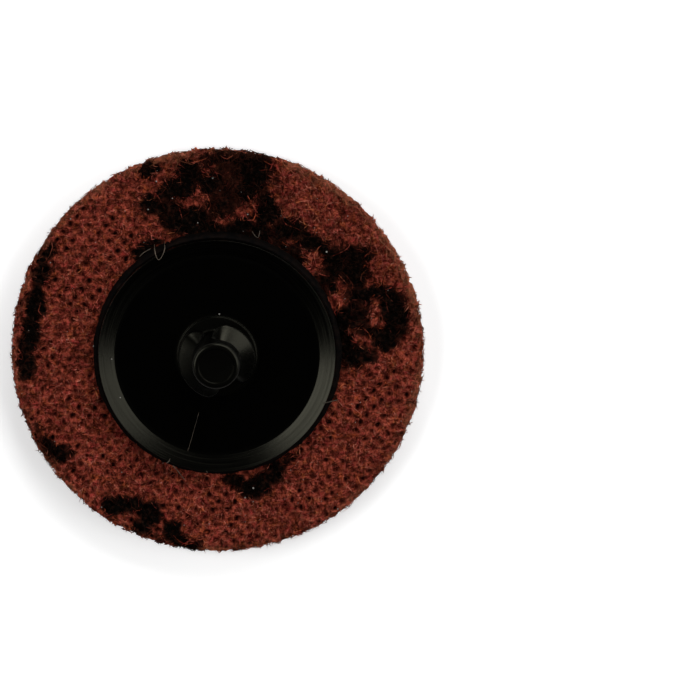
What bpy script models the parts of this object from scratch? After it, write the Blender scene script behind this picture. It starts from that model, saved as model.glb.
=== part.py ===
"""Surface conditioning disc with a quick-change button, lying on its working face.

An open nylon web carries the abrasive. A woven scrim, felted with the web's own fibres, backs it.
A moulded button with a coarse threaded stud is glued to the middle of the scrim.
Units are metres and +Z is up. The origin is the centre of the working face, so the stud points up.

Run it with: blender --background --python part.py
"""

import math
import random

import bmesh
import bpy
from mathutils import Matrix, Vector, noise
from mathutils.geometry import delaunay_2d_cdt

MM = 0.001

# The round of the disc
DISC_RADIUS = 25.0 * MM
ROUND_STEPS = 96

# Abrasive web: an open tangle of nylon fibre, die cut and a little ragged
WEB_THICKNESS = 2.8 * MM
WEB_INSET = 0.15 * MM
WEB_UNDERCUT = 0.55 * MM
WEB_RAGGED = 0.3 * MM
PORE_SPACING = 2.5 * MM
PORE_DEPTH = 1.1 * MM
PORE_WALL = 0.16
RELIEF_STEP = 1.08 * MM

# Scrim backing: a plain weave of warp and weft, pressed flat under the button
SCRIM_THICKNESS = 1.0 * MM
SCRIM_EDGE_ROUND = 0.2 * MM
WARP_PITCH = 1.57 * MM
WEFT_PITCH = 1.26 * MM
WEAVE_TURN = math.radians(48.0)
KNUCKLE_HEIGHT = 0.16 * MM
SUNK_KNUCKLE_HEIGHT = 0.05 * MM
MESH_HOLE_DEPTH = 0.42 * MM
SEAT_PRESS = 0.5 * MM
SEAT_MARGIN = 0.3 * MM

# Glue between scrim and button, with the bead that squeezed out round the flange
GLUE_THICKNESS = 0.2 * MM
BEAD_HEIGHT = 0.55 * MM
BEAD_WIDTH = 0.4 * MM
BEAD_SWING = 0.12 * MM

# Button: a dished flange with a raised rim
FLANGE_RADIUS = 14.5 * MM
FLANGE_DRAFT = 0.2 * MM
FLOOR_THICKNESS = 1.25 * MM
RIM_RISE = 0.8 * MM
RIM_SLOPE_WIDTH = 1.9 * MM
RIM_CREST_ROUND = 0.18 * MM
FLANGE_EDGE_ROUND = 0.15 * MM

# Button: the stud, its low boss and its coarse right-hand thread
STUD_HEIGHT = 6.0 * MM
STUD_ROOT_RADIUS = 3.05 * MM
STUD_TIP_RADIUS = 2.85 * MM
STUD_TIP_ROUND = 0.45 * MM
STUD_FOOT_ROUND = 0.4 * MM
BOSS_RADIUS = 4.8 * MM
BOSS_HEIGHT = 0.3 * MM
THREAD_RADIUS = 4.6 * MM
THREAD_STARTS = 2
THREAD_LEAD = 6.0 * MM
THREAD_TURN = math.radians(170.0)
THREAD_TOP_GAP = 1.15 * MM
THREAD_ROOT_WIDTH = 2.9 * MM
THREAD_CREST_WIDTH = 0.7 * MM
THREAD_CREST_ROUND = 0.2 * MM
THREAD_ROOT_SINK = 0.55 * MM
THREAD_RUN_OUT = math.radians(42.0)
THREAD_STEPS = 30
THREAD_START_ANGLE = math.radians(104.0)

# Space left between two pieces that lie on each other
SEAT_GAP = 0.3 * MM

# Levels, from the working face up
SCRIM_BASE = WEB_THICKNESS + SEAT_GAP
SCRIM_TOP = SCRIM_BASE + SCRIM_THICKNESS
SEAT_LEVEL = SCRIM_TOP - SEAT_PRESS
GLUE_BASE = SEAT_LEVEL + SEAT_GAP
BUTTON_BASE = GLUE_BASE + GLUE_THICKNESS + SEAT_GAP

BEAD_REACH = FLANGE_RADIUS + SEAT_GAP + BEAD_WIDTH
SEAT_RADIUS = BEAD_REACH + BEAD_SWING + SEAT_MARGIN

SHARP_ANGLE = math.radians(35.0)
RELIEF_SHARP_ANGLE = math.radians(70.0)
MERGE = 1e-7
RELIEF_SEED = 11


def clear_scene():
    """Removes what a new Blender file holds."""
    for old in list(bpy.data.objects):
        bpy.data.objects.remove(old, do_unlink=True)


def plain_material(name, colour, roughness):
    """A Principled material; colour is linear red, green and blue."""
    made = bpy.data.materials.new(name)
    made.use_nodes = True
    shader = made.node_tree.nodes["Principled BSDF"]
    shader.inputs["Base Color"].default_value = (*colour, 1.0)
    shader.inputs["Roughness"].default_value = roughness
    shader.inputs["Metallic"].default_value = 0.0
    return made


def place(name, shape, material, height=0.0, smooth_under=SHARP_ANGLE):
    """Makes the object of a bmesh, shaded smooth up to an angle, and stands it at a height."""
    bmesh.ops.recalc_face_normals(shape, faces=shape.faces)
    mesh = bpy.data.meshes.new(name)
    shape.to_mesh(mesh)
    shape.free()
    mesh.shade_smooth()
    mesh.set_sharp_from_angle(angle=smooth_under)
    mesh.materials.append(material)
    made = bpy.data.objects.new(name, mesh)
    made.location.z = height
    bpy.context.scene.collection.objects.link(made)
    return made


def rounded_outline(corners, arc_points=3):
    """An outline of (radius, height) points, with each corner (radius, height, round) made an arc."""
    outline = []
    for i, (radius, height, fillet) in enumerate(corners):
        here = Vector((radius, height))
        if fillet <= 0.0:
            outline.append(here)
            continue
        to_last = (Vector(corners[i - 1][:2]) - here).normalized()
        to_next = (Vector(corners[i + 1][:2]) - here).normalized()
        half = to_last.angle(to_next) / 2.0
        centre = here + (to_last + to_next).normalized() * fillet / math.sin(half)
        first = here + to_last * fillet / math.tan(half) - centre
        last = here + to_next * fillet / math.tan(half) - centre
        sweep = first.angle_signed(last)
        for k in range(arc_points):
            outline.append(centre + Matrix.Rotation(-sweep * k / (arc_points - 1), 2) @ first)
    return outline


def turned(outline):
    """A bmesh body of revolution round Z. The outline starts and ends on the axis."""
    shape = bmesh.new()
    verts = [shape.verts.new((p.x, 0.0, p.y)) for p in outline]
    edges = [shape.edges.new(pair) for pair in zip(verts, verts[1:])]
    bmesh.ops.spin(
        shape,
        geom=verts + edges,
        axis=(0.0, 0.0, 1.0),
        cent=(0.0, 0.0, 0.0),
        angle=2.0 * math.pi,
        steps=ROUND_STEPS,
        use_merge=True,
    )
    bmesh.ops.remove_doubles(shape, verts=shape.verts, dist=MERGE)
    return shape


def ring_angles():
    """The angles of the corners of every round outline."""
    return [2.0 * math.pi * k / ROUND_STEPS for k in range(ROUND_STEPS)]


def add_ring(shape, radius_at, height_at):
    """One closed ring of vertices, with its radius and height given for each angle."""
    return [
        shape.verts.new((radius_at(a) * math.cos(a), radius_at(a) * math.sin(a), height_at(a)))
        for a in ring_angles()
    ]


def join_rings(shape, lower, upper):
    """The wall of quads between two rings."""
    count = len(lower)
    for k in range(count):
        following = (k + 1) % count
        shape.faces.new((lower[k], lower[following], upper[following], upper[k]))


def relief_face(shape, rim, inner_points):
    """Fills a rim of vertices with a triangulated face that passes through (x, y, z) points inside it."""
    plan = [Vector((v.co.x, v.co.y)) / MM for v in rim]
    plan += [Vector((x, y)) / MM for x, y, _ in inner_points]
    rim_loop = list(range(len(rim)))
    _, _, triangles, sources, _, regions = delaunay_2d_cdt(plan, [], [rim_loop], 1, MERGE, True)
    corners = rim + [shape.verts.new(point) for point in inner_points]
    for triangle, region in zip(triangles, regions):
        if region:
            shape.faces.new([corners[sources[k][0]] for k in triangle])


def ragged(angle, seed):
    """A number from 0 to 1 that wanders round the rim, for a die-cut edge with loose fibre."""
    where = Vector((math.cos(angle), math.sin(angle), 0.0)) * DISC_RADIUS / PORE_SPACING
    coarse = noise.noise(where + Vector((0.0, 0.0, seed)))
    fine = noise.noise(where * 2.7 + Vector((0.0, 0.0, seed)))
    return min(1.0, max(0.0, 0.5 + 0.7 * coarse + 0.4 * fine))


def pore_depth(x, y):
    """How deep the web's working face is sunk at a point: 0 on the fibre walls, most inside a pore."""
    distances, _ = noise.voronoi(Vector((x, y, 0.0)) / PORE_SPACING)
    openness = (distances[1] - distances[0] - PORE_WALL) / (0.5 - PORE_WALL)
    openness = min(1.0, max(0.0, openness))
    return PORE_DEPTH * openness * openness * (3.0 - 2.0 * openness)


def working_face_points(reach):
    """A jittered grid of points over the working face, sunk where a pore opens."""
    shake = random.Random(RELIEF_SEED)
    half_count = int(reach / RELIEF_STEP) + 1
    points = []
    for i in range(-half_count, half_count + 1):
        for j in range(-half_count, half_count + 1):
            x = (i + shake.uniform(-0.3, 0.3)) * RELIEF_STEP
            y = (j + shake.uniform(-0.3, 0.3)) * RELIEF_STEP
            if math.hypot(x, y) < reach:
                points.append((x, y, pore_depth(x, y)))
    return points


def make_abrasive_web(material):
    """The open web: a ragged, undercut wall, a porous working face and a flat top under the scrim."""
    outer = DISC_RADIUS - WEB_INSET
    rings = (
        (0.0, WEB_UNDERCUT, 1),
        (0.35, 0.35 * WEB_UNDERCUT, 2),
        (0.7, 0.1 * WEB_UNDERCUT, 3),
        (1.0, 0.0, 4),
    )
    shape = bmesh.new()
    walls = [
        add_ring(
            shape,
            lambda a, inset=inset, seed=seed: outer - inset - WEB_RAGGED * ragged(a, seed),
            lambda a, share=share: share * WEB_THICKNESS,
        )
        for share, inset, seed in rings
    ]
    for lower, upper in zip(walls, walls[1:]):
        join_rings(shape, lower, upper)
    reach = outer - WEB_UNDERCUT - WEB_RAGGED - 0.5 * RELIEF_STEP
    relief_face(shape, walls[0], working_face_points(reach))
    shape.faces.new(walls[-1])
    return place("abrasive_web", shape, material, smooth_under=RELIEF_SHARP_ANGLE)


def weave_points(inner_reach, outer_reach):
    """Points of a plain weave between two radii: knuckles, yarns between them, and mesh holes."""
    cosine, sine = math.cos(WEAVE_TURN), math.sin(WEAVE_TURN)
    half_count = 2 * int(outer_reach / min(WARP_PITCH, WEFT_PITCH)) + 2
    points = []
    for i in range(-half_count, half_count + 1):
        for j in range(-half_count, half_count + 1):
            along, across = 0.5 * i * WEFT_PITCH, 0.5 * j * WARP_PITCH
            x, y = along * cosine - across * sine, along * sine + across * cosine
            if not inner_reach < math.hypot(x, y) < outer_reach:
                continue
            if i % 2 and j % 2:
                rise = -MESH_HOLE_DEPTH
            elif i % 2 or j % 2:
                rise = 0.0
            else:
                rise = KNUCKLE_HEIGHT if (i // 2 + j // 2) % 2 else SUNK_KNUCKLE_HEIGHT
            points.append((x, y, SCRIM_THICKNESS + rise))
    return points


def make_scrim_backing(material):
    """The woven scrim: a round sheet with the weave on top and a flat seat pressed by the button."""
    shape = bmesh.new()
    round_over = SCRIM_EDGE_ROUND
    profile = (
        (DISC_RADIUS - round_over, 0.0),
        (DISC_RADIUS, round_over),
        (DISC_RADIUS, SCRIM_THICKNESS - round_over),
        (DISC_RADIUS - round_over, SCRIM_THICKNESS),
    )
    walls = [
        add_ring(shape, lambda a, radius=radius: radius, lambda a, height=height: height)
        for radius, height in profile
    ]
    for lower, upper in zip(walls, walls[1:]):
        join_rings(shape, lower, upper)
    clear = 0.3 * min(WARP_PITCH, WEFT_PITCH)
    seat_height = SEAT_LEVEL - SCRIM_BASE
    seat_edge = [(SEAT_RADIUS * math.cos(a), SEAT_RADIUS * math.sin(a), seat_height) for a in ring_angles()]
    yarns = weave_points(SEAT_RADIUS + clear, DISC_RADIUS - round_over - clear)
    relief_face(shape, walls[-1], seat_edge + yarns)
    shape.faces.new(walls[0])
    return place("scrim_backing", shape, material, SCRIM_BASE, RELIEF_SHARP_ANGLE)


def make_glue_layer(material):
    """The glue: a thin round film with a bead round the flange, widest at two opposite sides."""
    inner = FLANGE_RADIUS + SEAT_GAP
    top = GLUE_THICKNESS + BEAD_HEIGHT
    edge_round = 0.4 * BEAD_WIDTH
    outline = rounded_outline(
        [
            (0.0, 0.0, 0.0),
            (inner + BEAD_WIDTH, 0.0, 0.0),
            (inner + 0.9 * BEAD_WIDTH, 0.55 * top, edge_round),
            (inner, top, 0.0),
            (inner, GLUE_THICKNESS, 0.0),
            (0.0, GLUE_THICKNESS, 0.0),
        ]
    )
    shape = turned(outline)
    for vert in shape.verts:
        radius = math.hypot(vert.co.x, vert.co.y)
        if radius > inner + MERGE:
            angle = math.atan2(vert.co.y, vert.co.x)
            share = (radius - inner) / BEAD_WIDTH
            spread = radius + share * BEAD_SWING * math.cos(2.0 * angle)
            vert.co.x, vert.co.y = spread * math.cos(angle), spread * math.sin(angle)
    return place("glue_layer", shape, material, GLUE_BASE)


def button_outline():
    """Half the button's section: flange underside, rim, dished floor, boss and plain stud."""
    rim_top = FLOOR_THICKNESS + RIM_RISE
    crest_radius = FLANGE_RADIUS - FLANGE_DRAFT
    boss_top = FLOOR_THICKNESS + BOSS_HEIGHT
    stud_top = FLOOR_THICKNESS + STUD_HEIGHT
    return rounded_outline(
        [
            (0.0, 0.0, 0.0),
            (FLANGE_RADIUS, 0.0, FLANGE_EDGE_ROUND),
            (crest_radius, rim_top, RIM_CREST_ROUND),
            (crest_radius - RIM_SLOPE_WIDTH, FLOOR_THICKNESS, RIM_CREST_ROUND),
            (BOSS_RADIUS, FLOOR_THICKNESS, 0.0),
            (BOSS_RADIUS - 0.3 * BOSS_HEIGHT, boss_top, 0.0),
            (STUD_ROOT_RADIUS, boss_top, STUD_FOOT_ROUND),
            (STUD_TIP_RADIUS, stud_top, STUD_TIP_ROUND),
            (0.0, stud_top, 0.0),
        ]
    )


def thread_section(crest_radius, core_radius):
    """The thread's section as (radius, height) points, from its lower root to its upper root."""
    root, crest = 0.5 * THREAD_ROOT_WIDTH, 0.5 * THREAD_CREST_WIDTH
    steepness = (root - crest) / (THREAD_RADIUS - core_radius)
    root += steepness * THREAD_ROOT_SINK
    flat = crest_radius - THREAD_CREST_ROUND
    return [
        (core_radius - THREAD_ROOT_SINK, -root),
        (flat, -crest - THREAD_CREST_ROUND),
        (crest_radius, -crest),
        (crest_radius, crest),
        (flat, crest + THREAD_CREST_ROUND),
        (core_radius - THREAD_ROOT_SINK, root),
    ]


def make_thread_ridge(start):
    """One start of the thread, as a helper that is joined to the stud. It runs down clockwise."""
    core = min(STUD_ROOT_RADIUS, STUD_TIP_RADIUS)
    hidden_radius = core - 0.3 * THREAD_ROOT_SINK
    top = FLOOR_THICKNESS + STUD_HEIGHT - THREAD_TOP_GAP - 0.5 * THREAD_ROOT_WIDTH
    shape = bmesh.new()
    sections = []
    for k in range(THREAD_STEPS + 1):
        turn = THREAD_TURN * k / THREAD_STEPS
        to_end = min(turn, THREAD_TURN - turn)
        growth = math.sin(0.5 * math.pi * min(1.0, to_end / THREAD_RUN_OUT))
        angle = THREAD_START_ANGLE + 2.0 * math.pi * start / THREAD_STARTS - turn
        height = top - THREAD_LEAD * turn / (2.0 * math.pi)
        crest_radius = hidden_radius + THREAD_CREST_ROUND * growth
        crest_radius += (THREAD_RADIUS - crest_radius) * growth
        flat_share = 0.2 + 0.8 * growth
        section = [
            shape.verts.new((r * math.cos(angle), r * math.sin(angle), height + flat_share * z))
            for r, z in thread_section(crest_radius, core)
        ]
        sections.append(section)
    for near, far in zip(sections, sections[1:]):
        join_rings(shape, near, far)
    shape.faces.new(sections[0])
    shape.faces.new(sections[-1])
    bmesh.ops.recalc_face_normals(shape, faces=shape.faces)
    mesh = bpy.data.meshes.new(f"thread_ridge_{start + 1}")
    shape.to_mesh(mesh)
    shape.free()
    ridge = bpy.data.objects.new(mesh.name, mesh)
    ridge.hide_render = True
    ridge.display_type = "WIRE"
    bpy.context.scene.collection.objects.link(ridge)
    return ridge


def make_mounting_button(material):
    """The moulded button: a dished flange and a stud, with each start of the thread joined on."""
    button = place("mounting_button", turned(button_outline()), material, BUTTON_BASE)
    for start in range(THREAD_STARTS):
        ridge = make_thread_ridge(start)
        ridge.parent = button
        join = button.modifiers.new(f"join_{ridge.name}", "BOOLEAN")
        join.operation = "UNION"
        join.solver = "EXACT"
        join.object = ridge
    return button


def main():
    clear_scene()
    make_abrasive_web(plain_material("maroon_abrasive_nylon", (0.045, 0.008, 0.009), 0.55))
    make_scrim_backing(plain_material("rust_felted_scrim", (0.089, 0.015, 0.009), 0.95))
    make_glue_layer(plain_material("black_hot_melt", (0.004, 0.004, 0.003), 0.4))
    make_mounting_button(plain_material("black_moulded_nylon", (0.005, 0.005, 0.004), 0.3))


main()
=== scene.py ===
"""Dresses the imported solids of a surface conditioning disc, which lies on its working face.

The disc is seen from the back: rust-red felt over a woven scrim, with black resin stains, and a
black moulded button with a threaded stud. The maroon abrasive web shows at the edge and below.
Run it as a script. Every size is in metres unless its name says otherwise, and +Z is up.
"""

import math
import random

import bmesh
import bpy
import numpy as np
from bpy.props import FloatProperty, FloatVectorProperty, PointerProperty
from mathutils import Matrix, Vector, noise


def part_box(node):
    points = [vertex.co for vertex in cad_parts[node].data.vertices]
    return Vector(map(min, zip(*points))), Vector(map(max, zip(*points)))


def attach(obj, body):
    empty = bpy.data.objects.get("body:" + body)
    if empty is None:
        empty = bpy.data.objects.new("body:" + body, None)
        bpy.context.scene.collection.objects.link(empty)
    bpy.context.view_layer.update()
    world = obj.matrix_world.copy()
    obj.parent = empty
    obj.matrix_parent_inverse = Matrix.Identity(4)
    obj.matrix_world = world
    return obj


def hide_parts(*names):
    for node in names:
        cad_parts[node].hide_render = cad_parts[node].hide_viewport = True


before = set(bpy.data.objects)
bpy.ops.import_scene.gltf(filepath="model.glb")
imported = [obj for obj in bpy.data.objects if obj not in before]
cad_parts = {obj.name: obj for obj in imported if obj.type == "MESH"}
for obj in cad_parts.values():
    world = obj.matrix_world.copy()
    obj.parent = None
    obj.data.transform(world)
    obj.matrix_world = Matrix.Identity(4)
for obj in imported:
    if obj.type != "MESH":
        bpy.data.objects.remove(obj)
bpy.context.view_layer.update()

bl_info = {
    "name": "Surface Conditioning Disc",
    "version": (1, 0, 0),
    "blender": (4, 5, 0),
    "location": "3D View > Sidebar > Disc",
    "description": "Builds a felted, stained disc with its moulded button, and a plain studio",
    "category": "Object",
}

MM = 0.001
BODY = "root"

WEB_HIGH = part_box("abrasive_web")[1]
SCRIM_LOW, SCRIM_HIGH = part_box("scrim_backing")
GLUE_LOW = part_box("glue_layer")[0]
BUTTON_LOW, BUTTON_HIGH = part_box("mounting_button")
DISC_RADIUS = SCRIM_HIGH.x
FLANGE_RADIUS = BUTTON_HIGH.x
FELT_LEVEL = 4.1 * MM
WEB_LEVEL = SCRIM_LOW.z

# The scrim's weave: its rows run at WEAVE_TURN and lie ROW_PITCH apart
WEAVE_TURN = math.radians(48.0)
ROW_PITCH = 1.57 * MM
YARN_PITCH = 1.26 * MM

# The stud's thread: the turn of each start, the run-out at its ends, and the heading of the first start
THREAD_TURN = math.radians(170.0)
THREAD_RUN_OUT = math.radians(32.0)
THREAD_START = math.radians(104.0)

# How many corners each round piece has, and how near two points are before they are merged
BACKING_STEPS = 720
WEB_STEPS = 380
GLUE_STEPS = 480
BUTTON_STEPS = 192
MERGE = 1.0e-7

# Where resin has soaked through the felt, in millimetres from the middle of the disc:
# x, y, half length, half width, turn in degrees, and strength
STAINS = (
    (-8.1, 22.4, 1.1, 0.85, 0, 1.0),
    (-3.3, 22.2, 1.3, 1.9, 20, 1.0),
    (-5.3, 20.3, 2.0, 1.0, 35, 1.0),
    (-7.9, 18.0, 1.2, 1.2, 0, 1.0),
    (1.6, 23.9, 3.4, 0.75, 0, 0.9),
    (4.7, 22.5, 2.0, 2.0, 0, 1.0),
    (3.7, 20.1, 2.1, 1.1, 10, 1.0),
    (-0.7, 21.0, 1.7, 1.2, 0, 0.95),
    (1.5, 22.2, 1.6, 1.3, 0, 0.62),
    (1.6, 19.8, 1.6, 0.9, 0, 0.7),
    (0.6, 18.2, 2.1, 1.3, 0, 0.75),
    (-3.2, 16.2, 2.8, 1.7, 0, 0.95),
    (-5.8, 17.9, 1.7, 1.0, 0, 0.8),
    (-5.0, 15.9, 1.7, 1.1, -30, 0.95),
    (-3.9, 19.9, 1.0, 0.8, 0, 0.9),
    (-0.2, 15.0, 1.5, 1.2, 0, 0.9),
    (2.8, 15.0, 1.8, 1.3, 20, 0.95),
    (6.1, 17.6, 1.4, 1.8, 0, 1.0),
    (5.4, 14.9, 1.5, 1.0, 0, 0.95),
    (8.8, 15.2, 1.8, 1.2, 0, 0.95),
    (7.0, 13.3, 2.0, 1.2, -30, 0.7),
    (11.2, 13.6, 1.4, 0.9, 0, 0.95),
    (9.6, 11.9, 0.9, 1.2, 0, 0.8),
    (12.7, 13.2, 1.0, 0.7, -20, 1.0),
    (14.0, 11.2, 1.5, 1.7, 0, 0.95),
    (16.9, 12.1, 2.0, 0.85, 0, 1.0),
    (16.6, 9.6, 1.4, 1.7, 0, 0.95),
    (17.0, 7.1, 1.7, 1.0, 0, 1.0),
    (13.0, 8.4, 1.2, 1.7, 0, 0.75),
    (19.7, 7.5, 2.0, 0.75, 0, 1.0),
    (21.2, 4.6, 1.6, 2.6, 0, 1.0),
    (17.2, 4.6, 1.5, 1.7, 0, 0.8),
    (15.4, 4.3, 1.2, 1.2, 0, 0.9),
    (18.7, 2.3, 1.9, 0.85, -10, 0.95),
    (20.2, 1.2, 1.4, 1.0, 10, 1.0),
    (16.0, 0.3, 1.7, 1.9, 0, 0.85),
    (17.5, -0.6, 1.4, 0.95, 0, 0.9),
    (14.9, 2.2, 0.9, 2.6, 0, 0.95),
    (-8.9, 12.5, 1.5, 0.8, 42, 0.95),
    (-7.2, 13.6, 0.9, 0.6, 0, 0.8),
    (-20.8, 12.3, 1.0, 1.6, -25, 0.85),
    (-21.1, 9.6, 1.2, 1.6, 0, 0.95),
    (-21.9, 5.9, 1.1, 2.2, 0, 1.0),
    (-22.5, 2.8, 1.1, 2.0, 0, 1.0),
    (-23.1, 0.1, 1.1, 1.8, 0, 0.8),
    (-23.2, -1.7, 1.1, 1.1, 0, 1.0),
    (-20.2, -11.8, 1.9, 1.0, -38, 0.95),
    (-17.8, -12.4, 0.7, 0.5, 0, 0.7),
    (-22.2, -9.6, 0.7, 0.9, 0, 0.5),
    (-12.9, -19.2, 1.4, 1.2, 0, 1.0),
    (-10.5, -18.9, 2.0, 0.9, -15, 1.0),
    (-8.2, -20.1, 1.3, 1.2, 0, 1.0),
    (-9.3, -21.8, 1.1, 1.0, 0, 0.95),
    (-5.6, -22.1, 1.0, 0.8, -45, 1.0),
    (-4.1, -23.8, 1.9, 0.9, -28, 1.0),
    (-6.9, -23.4, 1.2, 0.6, -20, 0.6),
    (2.1, -16.0, 1.2, 0.7, 0, 0.9),
    (4.6, -16.8, 2.0, 1.4, 0, 1.0),
    (7.0, -14.8, 1.3, 1.3, 0, 1.0),
    (9.0, -13.0, 1.1, 0.6, 30, 0.8),
)

# Felt that the resin reached less, inside the stains: x, y, half length, half width, turn and share
CLEAN_PATCHES = (
    (-2.5, 18.3, 1.2, 0.6, 10, 0.25),
    (3.9, 18.2, 2.0, 0.55, 30, 0.5),
    (-6.3, 14.7, 1.0, 1.1, 0, 0.5),
    (7.1, 12.2, 1.6, 0.7, -25, 0.3),
    (11.9, 10.8, 1.3, 1.6, 0, 0.32),
    (15.2, 6.8, 1.5, 0.6, 45, 0.6),
    (19.1, 4.6, 1.1, 1.6, 0, 0.42),
    (17.3, 1.6, 1.1, 0.55, -40, 0.45),
)


def linear(hex_colour):
    """Linear red, green and blue of an sRGB colour such as '#7d3426'."""
    parts = [int(hex_colour[i : i + 2], 16) / 255.0 for i in (1, 3, 5)]
    return tuple(c / 12.92 if c <= 0.04045 else ((c + 0.055) / 1.055) ** 2.4 for c in parts)


def length_prop(name, default, description):
    """A size that the panel shows in the scene's own unit."""
    return FloatProperty(name=name, default=default, description=description, unit="LENGTH", precision=5)


def colour_prop(name, hex_colour, description):
    """A colour that the panel shows as a swatch."""
    return FloatVectorProperty(
        name=name,
        default=linear(hex_colour),
        description=description,
        subtype="COLOR",
        size=3,
        min=0.0,
        max=1.0,
    )


class FeltSettings(bpy.types.PropertyGroup):
    """Sizes and colours of the felted scrim."""

    hole_depth: length_prop("Hole Depth", 0.6 * MM, "Depth of the holes between the yarns")
    hole_radius: length_prop("Hole Radius", 0.36 * MM, "Radius of the holes between the yarns")
    yarn_swell: length_prop("Yarn Swell", 0.2 * MM, "How far the yarns stand out of the felt")
    matting: length_prop("Matting", 0.16 * MM, "Unevenness of the matted fibre")
    fibre_width: length_prop("Fibre Width", 0.115 * MM, "Width of a fibre, drawn coarser than it is")
    fibre_length: length_prop("Fibre Length", 1.05 * MM, "Usual length of the fibre that shows")
    fibres_per_mm2: FloatProperty(name="Fibres per mm2", default=20.5, description="Fibres on a square mm")
    curls_per_mm2: FloatProperty(name="Curls per mm2", default=3.2, description="Long curled fibres on top")
    tufts_per_mm2: FloatProperty(name="Tufts per mm2", default=30.0, description="Loose ends at the cut edge")
    # The matted felt's colour, darkened with painted shade for the gaps between the fibres
    ground: colour_prop("Ground", "#6a281c", "Matted felt between the fibres")
    # Painted shade: the colour of the felt in the holes and under the upper fibres
    hollow: colour_prop("Depth Shade", "#220703", "Felt deep in the holes")
    dark_fibre: colour_prop("Dark Fibre", "#a24a38", "Darkest fibre")
    fibre: colour_prop("Fibre", "#c26350", "Usual fibre")
    light_fibre: colour_prop("Light Fibre", "#d98a73", "Palest fibre")
    # Pale dust at the cut edge, with a painted highlight that is stronger towards +X
    edge_dust_and_light: colour_prop("Edge Dust and Light", "#b87c5a", "Dusty fibre ends at the die-cut edge")
    thin_resin: colour_prop("Thin Resin", "#2e140c", "Felt that resin has browned")
    resin: colour_prop("Resin", "#030100", "Resin that has soaked through")
    resin_lumps: colour_prop("Resin Lumps", "#26150e", "Fibre ends that stand out of the resin")


class WebSettings(bpy.types.PropertyGroup):
    """Sizes and colours of the abrasive web."""

    pore_size: length_prop("Pore Size", 2.5 * MM, "Distance between the web's larger pores")
    pore_depth: length_prop("Pore Depth", 0.9 * MM, "Depth of the pores in the core")
    fibre_width: length_prop("Fibre Width", 0.2 * MM, "Width of a resin-coated fibre")
    fibre_length: length_prop("Fibre Length", 4.2 * MM, "Usual length of a fibre between two bonds")
    fibres_per_mm2: FloatProperty(name="Fibres per mm2", default=1.5, description="Fibres on a square mm")
    core: colour_prop("Core", "#20060a", "Depth of the web")
    dark_fibre: colour_prop("Dark Fibre", "#460b11", "Darkest fibre")
    fibre: colour_prop("Fibre", "#6e1c22", "Usual fibre")
    light_fibre: colour_prop("Light Fibre", "#8f4c50", "Palest fibre")


class ButtonSettings(bpy.types.PropertyGroup):
    """Sizes and colours of the moulded button and its glue."""

    floor_height: length_prop("Floor Height", 1.25 * MM, "Thickness of the dished floor")
    rim_rise: length_prop("Rim Rise", 0.8 * MM, "Height of the rim above the floor")
    rim_slope: length_prop("Rim Slope", 1.9 * MM, "Width of the slope inside the rim")
    draft: length_prop("Draft", 0.2 * MM, "How far the flange's wall leans in")
    stud_radius: length_prop("Stud Radius", 2.95 * MM, "Mean radius of the plain stud")
    boss_radius: length_prop("Boss Radius", 4.8 * MM, "Radius of the low boss at the stud's foot")
    boss_height: length_prop("Boss Height", 0.3 * MM, "Height of that boss")
    thread_radius: length_prop("Thread Radius", 4.6 * MM, "Outside radius of the thread")
    thread_lead: length_prop("Thread Lead", 6.0 * MM, "Rise of the thread in one turn")
    thread_root: length_prop("Thread Root", 2.9 * MM, "Width of a ridge where it meets the stud")
    thread_crest: length_prop("Thread Crest", 0.5 * MM, "Width of a ridge at its crest")
    bead_width: length_prop("Bead Width", 0.42 * MM, "Width of the glue bead round the flange")
    nylon: colour_prop("Nylon", "#010101", "Moulded nylon")
    glue: colour_prop("Glue", "#040303", "Hot-melt glue")


class StageSettings(bpy.types.PropertyGroup):
    """The camera, the lamps and the floor."""

    tilt: FloatProperty(
        name="Tilt",
        default=math.radians(12.75),
        description="How far the camera leans from straight above",
        subtype="ANGLE",
    )
    distance: length_prop("Distance", 0.7, "From the camera to the disc")
    aim_x: length_prop("Aim X", 16.03 * MM, "Where the camera aims, to the right of the disc's middle")
    aim_y: length_prop("Aim Y", 0.3 * MM, "Where the camera aims, above the disc's middle")
    lens_mm: FloatProperty(name="Lens", default=298.0, description="Focal length in millimetres")
    lamp_distance: length_prop("Lamp Distance", 1.0, "From each lamp to the disc")
    floor_lift: FloatProperty(name="Floor Lift", default=0.4, description="White added to the floor as seen")
    floor: colour_prop("Floor", "#f4f4f4", "Matte floor")
    room: colour_prop("Room", "#1c1c1c", "Dim light from the room")


# Each lamp's name, heading and height in degrees, width and height in metres, and power in watts
LAMPS = (
    ("lamp_left", 170.0, 51.5, 0.66, 0.46, 4.4),
    ("lamp_right", 6.0, 42.0, 0.64, 0.82, 4.8),
    ("lamp_low", 66.0, 35.0, 0.9, 0.36, 5.5),
)

SETTINGS = (
    ("disc_felt", FeltSettings),
    ("disc_web", WebSettings),
    ("disc_button", ButtonSettings),
    ("disc_stage", StageSettings),
)


# Node trees and materials


def add_node(tree, kind, inputs=None, stops=None, **settings):
    """Adds a node with its settings. An input takes a value, a socket, or a node, whose first output in
    use is linked. The stops are the (position, colour) pairs of a ramp."""
    node = tree.nodes.new(kind)
    for name, value in settings.items():
        setattr(node, name, value)
    for key, value in (inputs or {}).items():
        if isinstance(value, bpy.types.Node):
            value = next(socket for socket in value.outputs if socket.enabled)
        if isinstance(value, bpy.types.NodeSocket):
            tree.links.new(value, node.inputs[key])
        else:
            node.inputs[key].default_value = value
    if stops:
        points = node.color_ramp.elements
        while len(points) < len(stops):
            points.new(0.5)
        for point, (position, colour) in zip(points, stops):
            point.position = position
            point.color = rgba(colour)
    return node


def new_material(name):
    """An empty material, its tree, and its Object coordinates."""
    material = bpy.data.materials.new(name)
    material.use_nodes = True
    tree = material.node_tree
    tree.nodes.clear()
    return material, tree, add_node(tree, "ShaderNodeTexCoord").outputs["Object"]


def rgba(colour):
    """A colour with full opacity."""
    return (*colour, 1.0)


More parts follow.
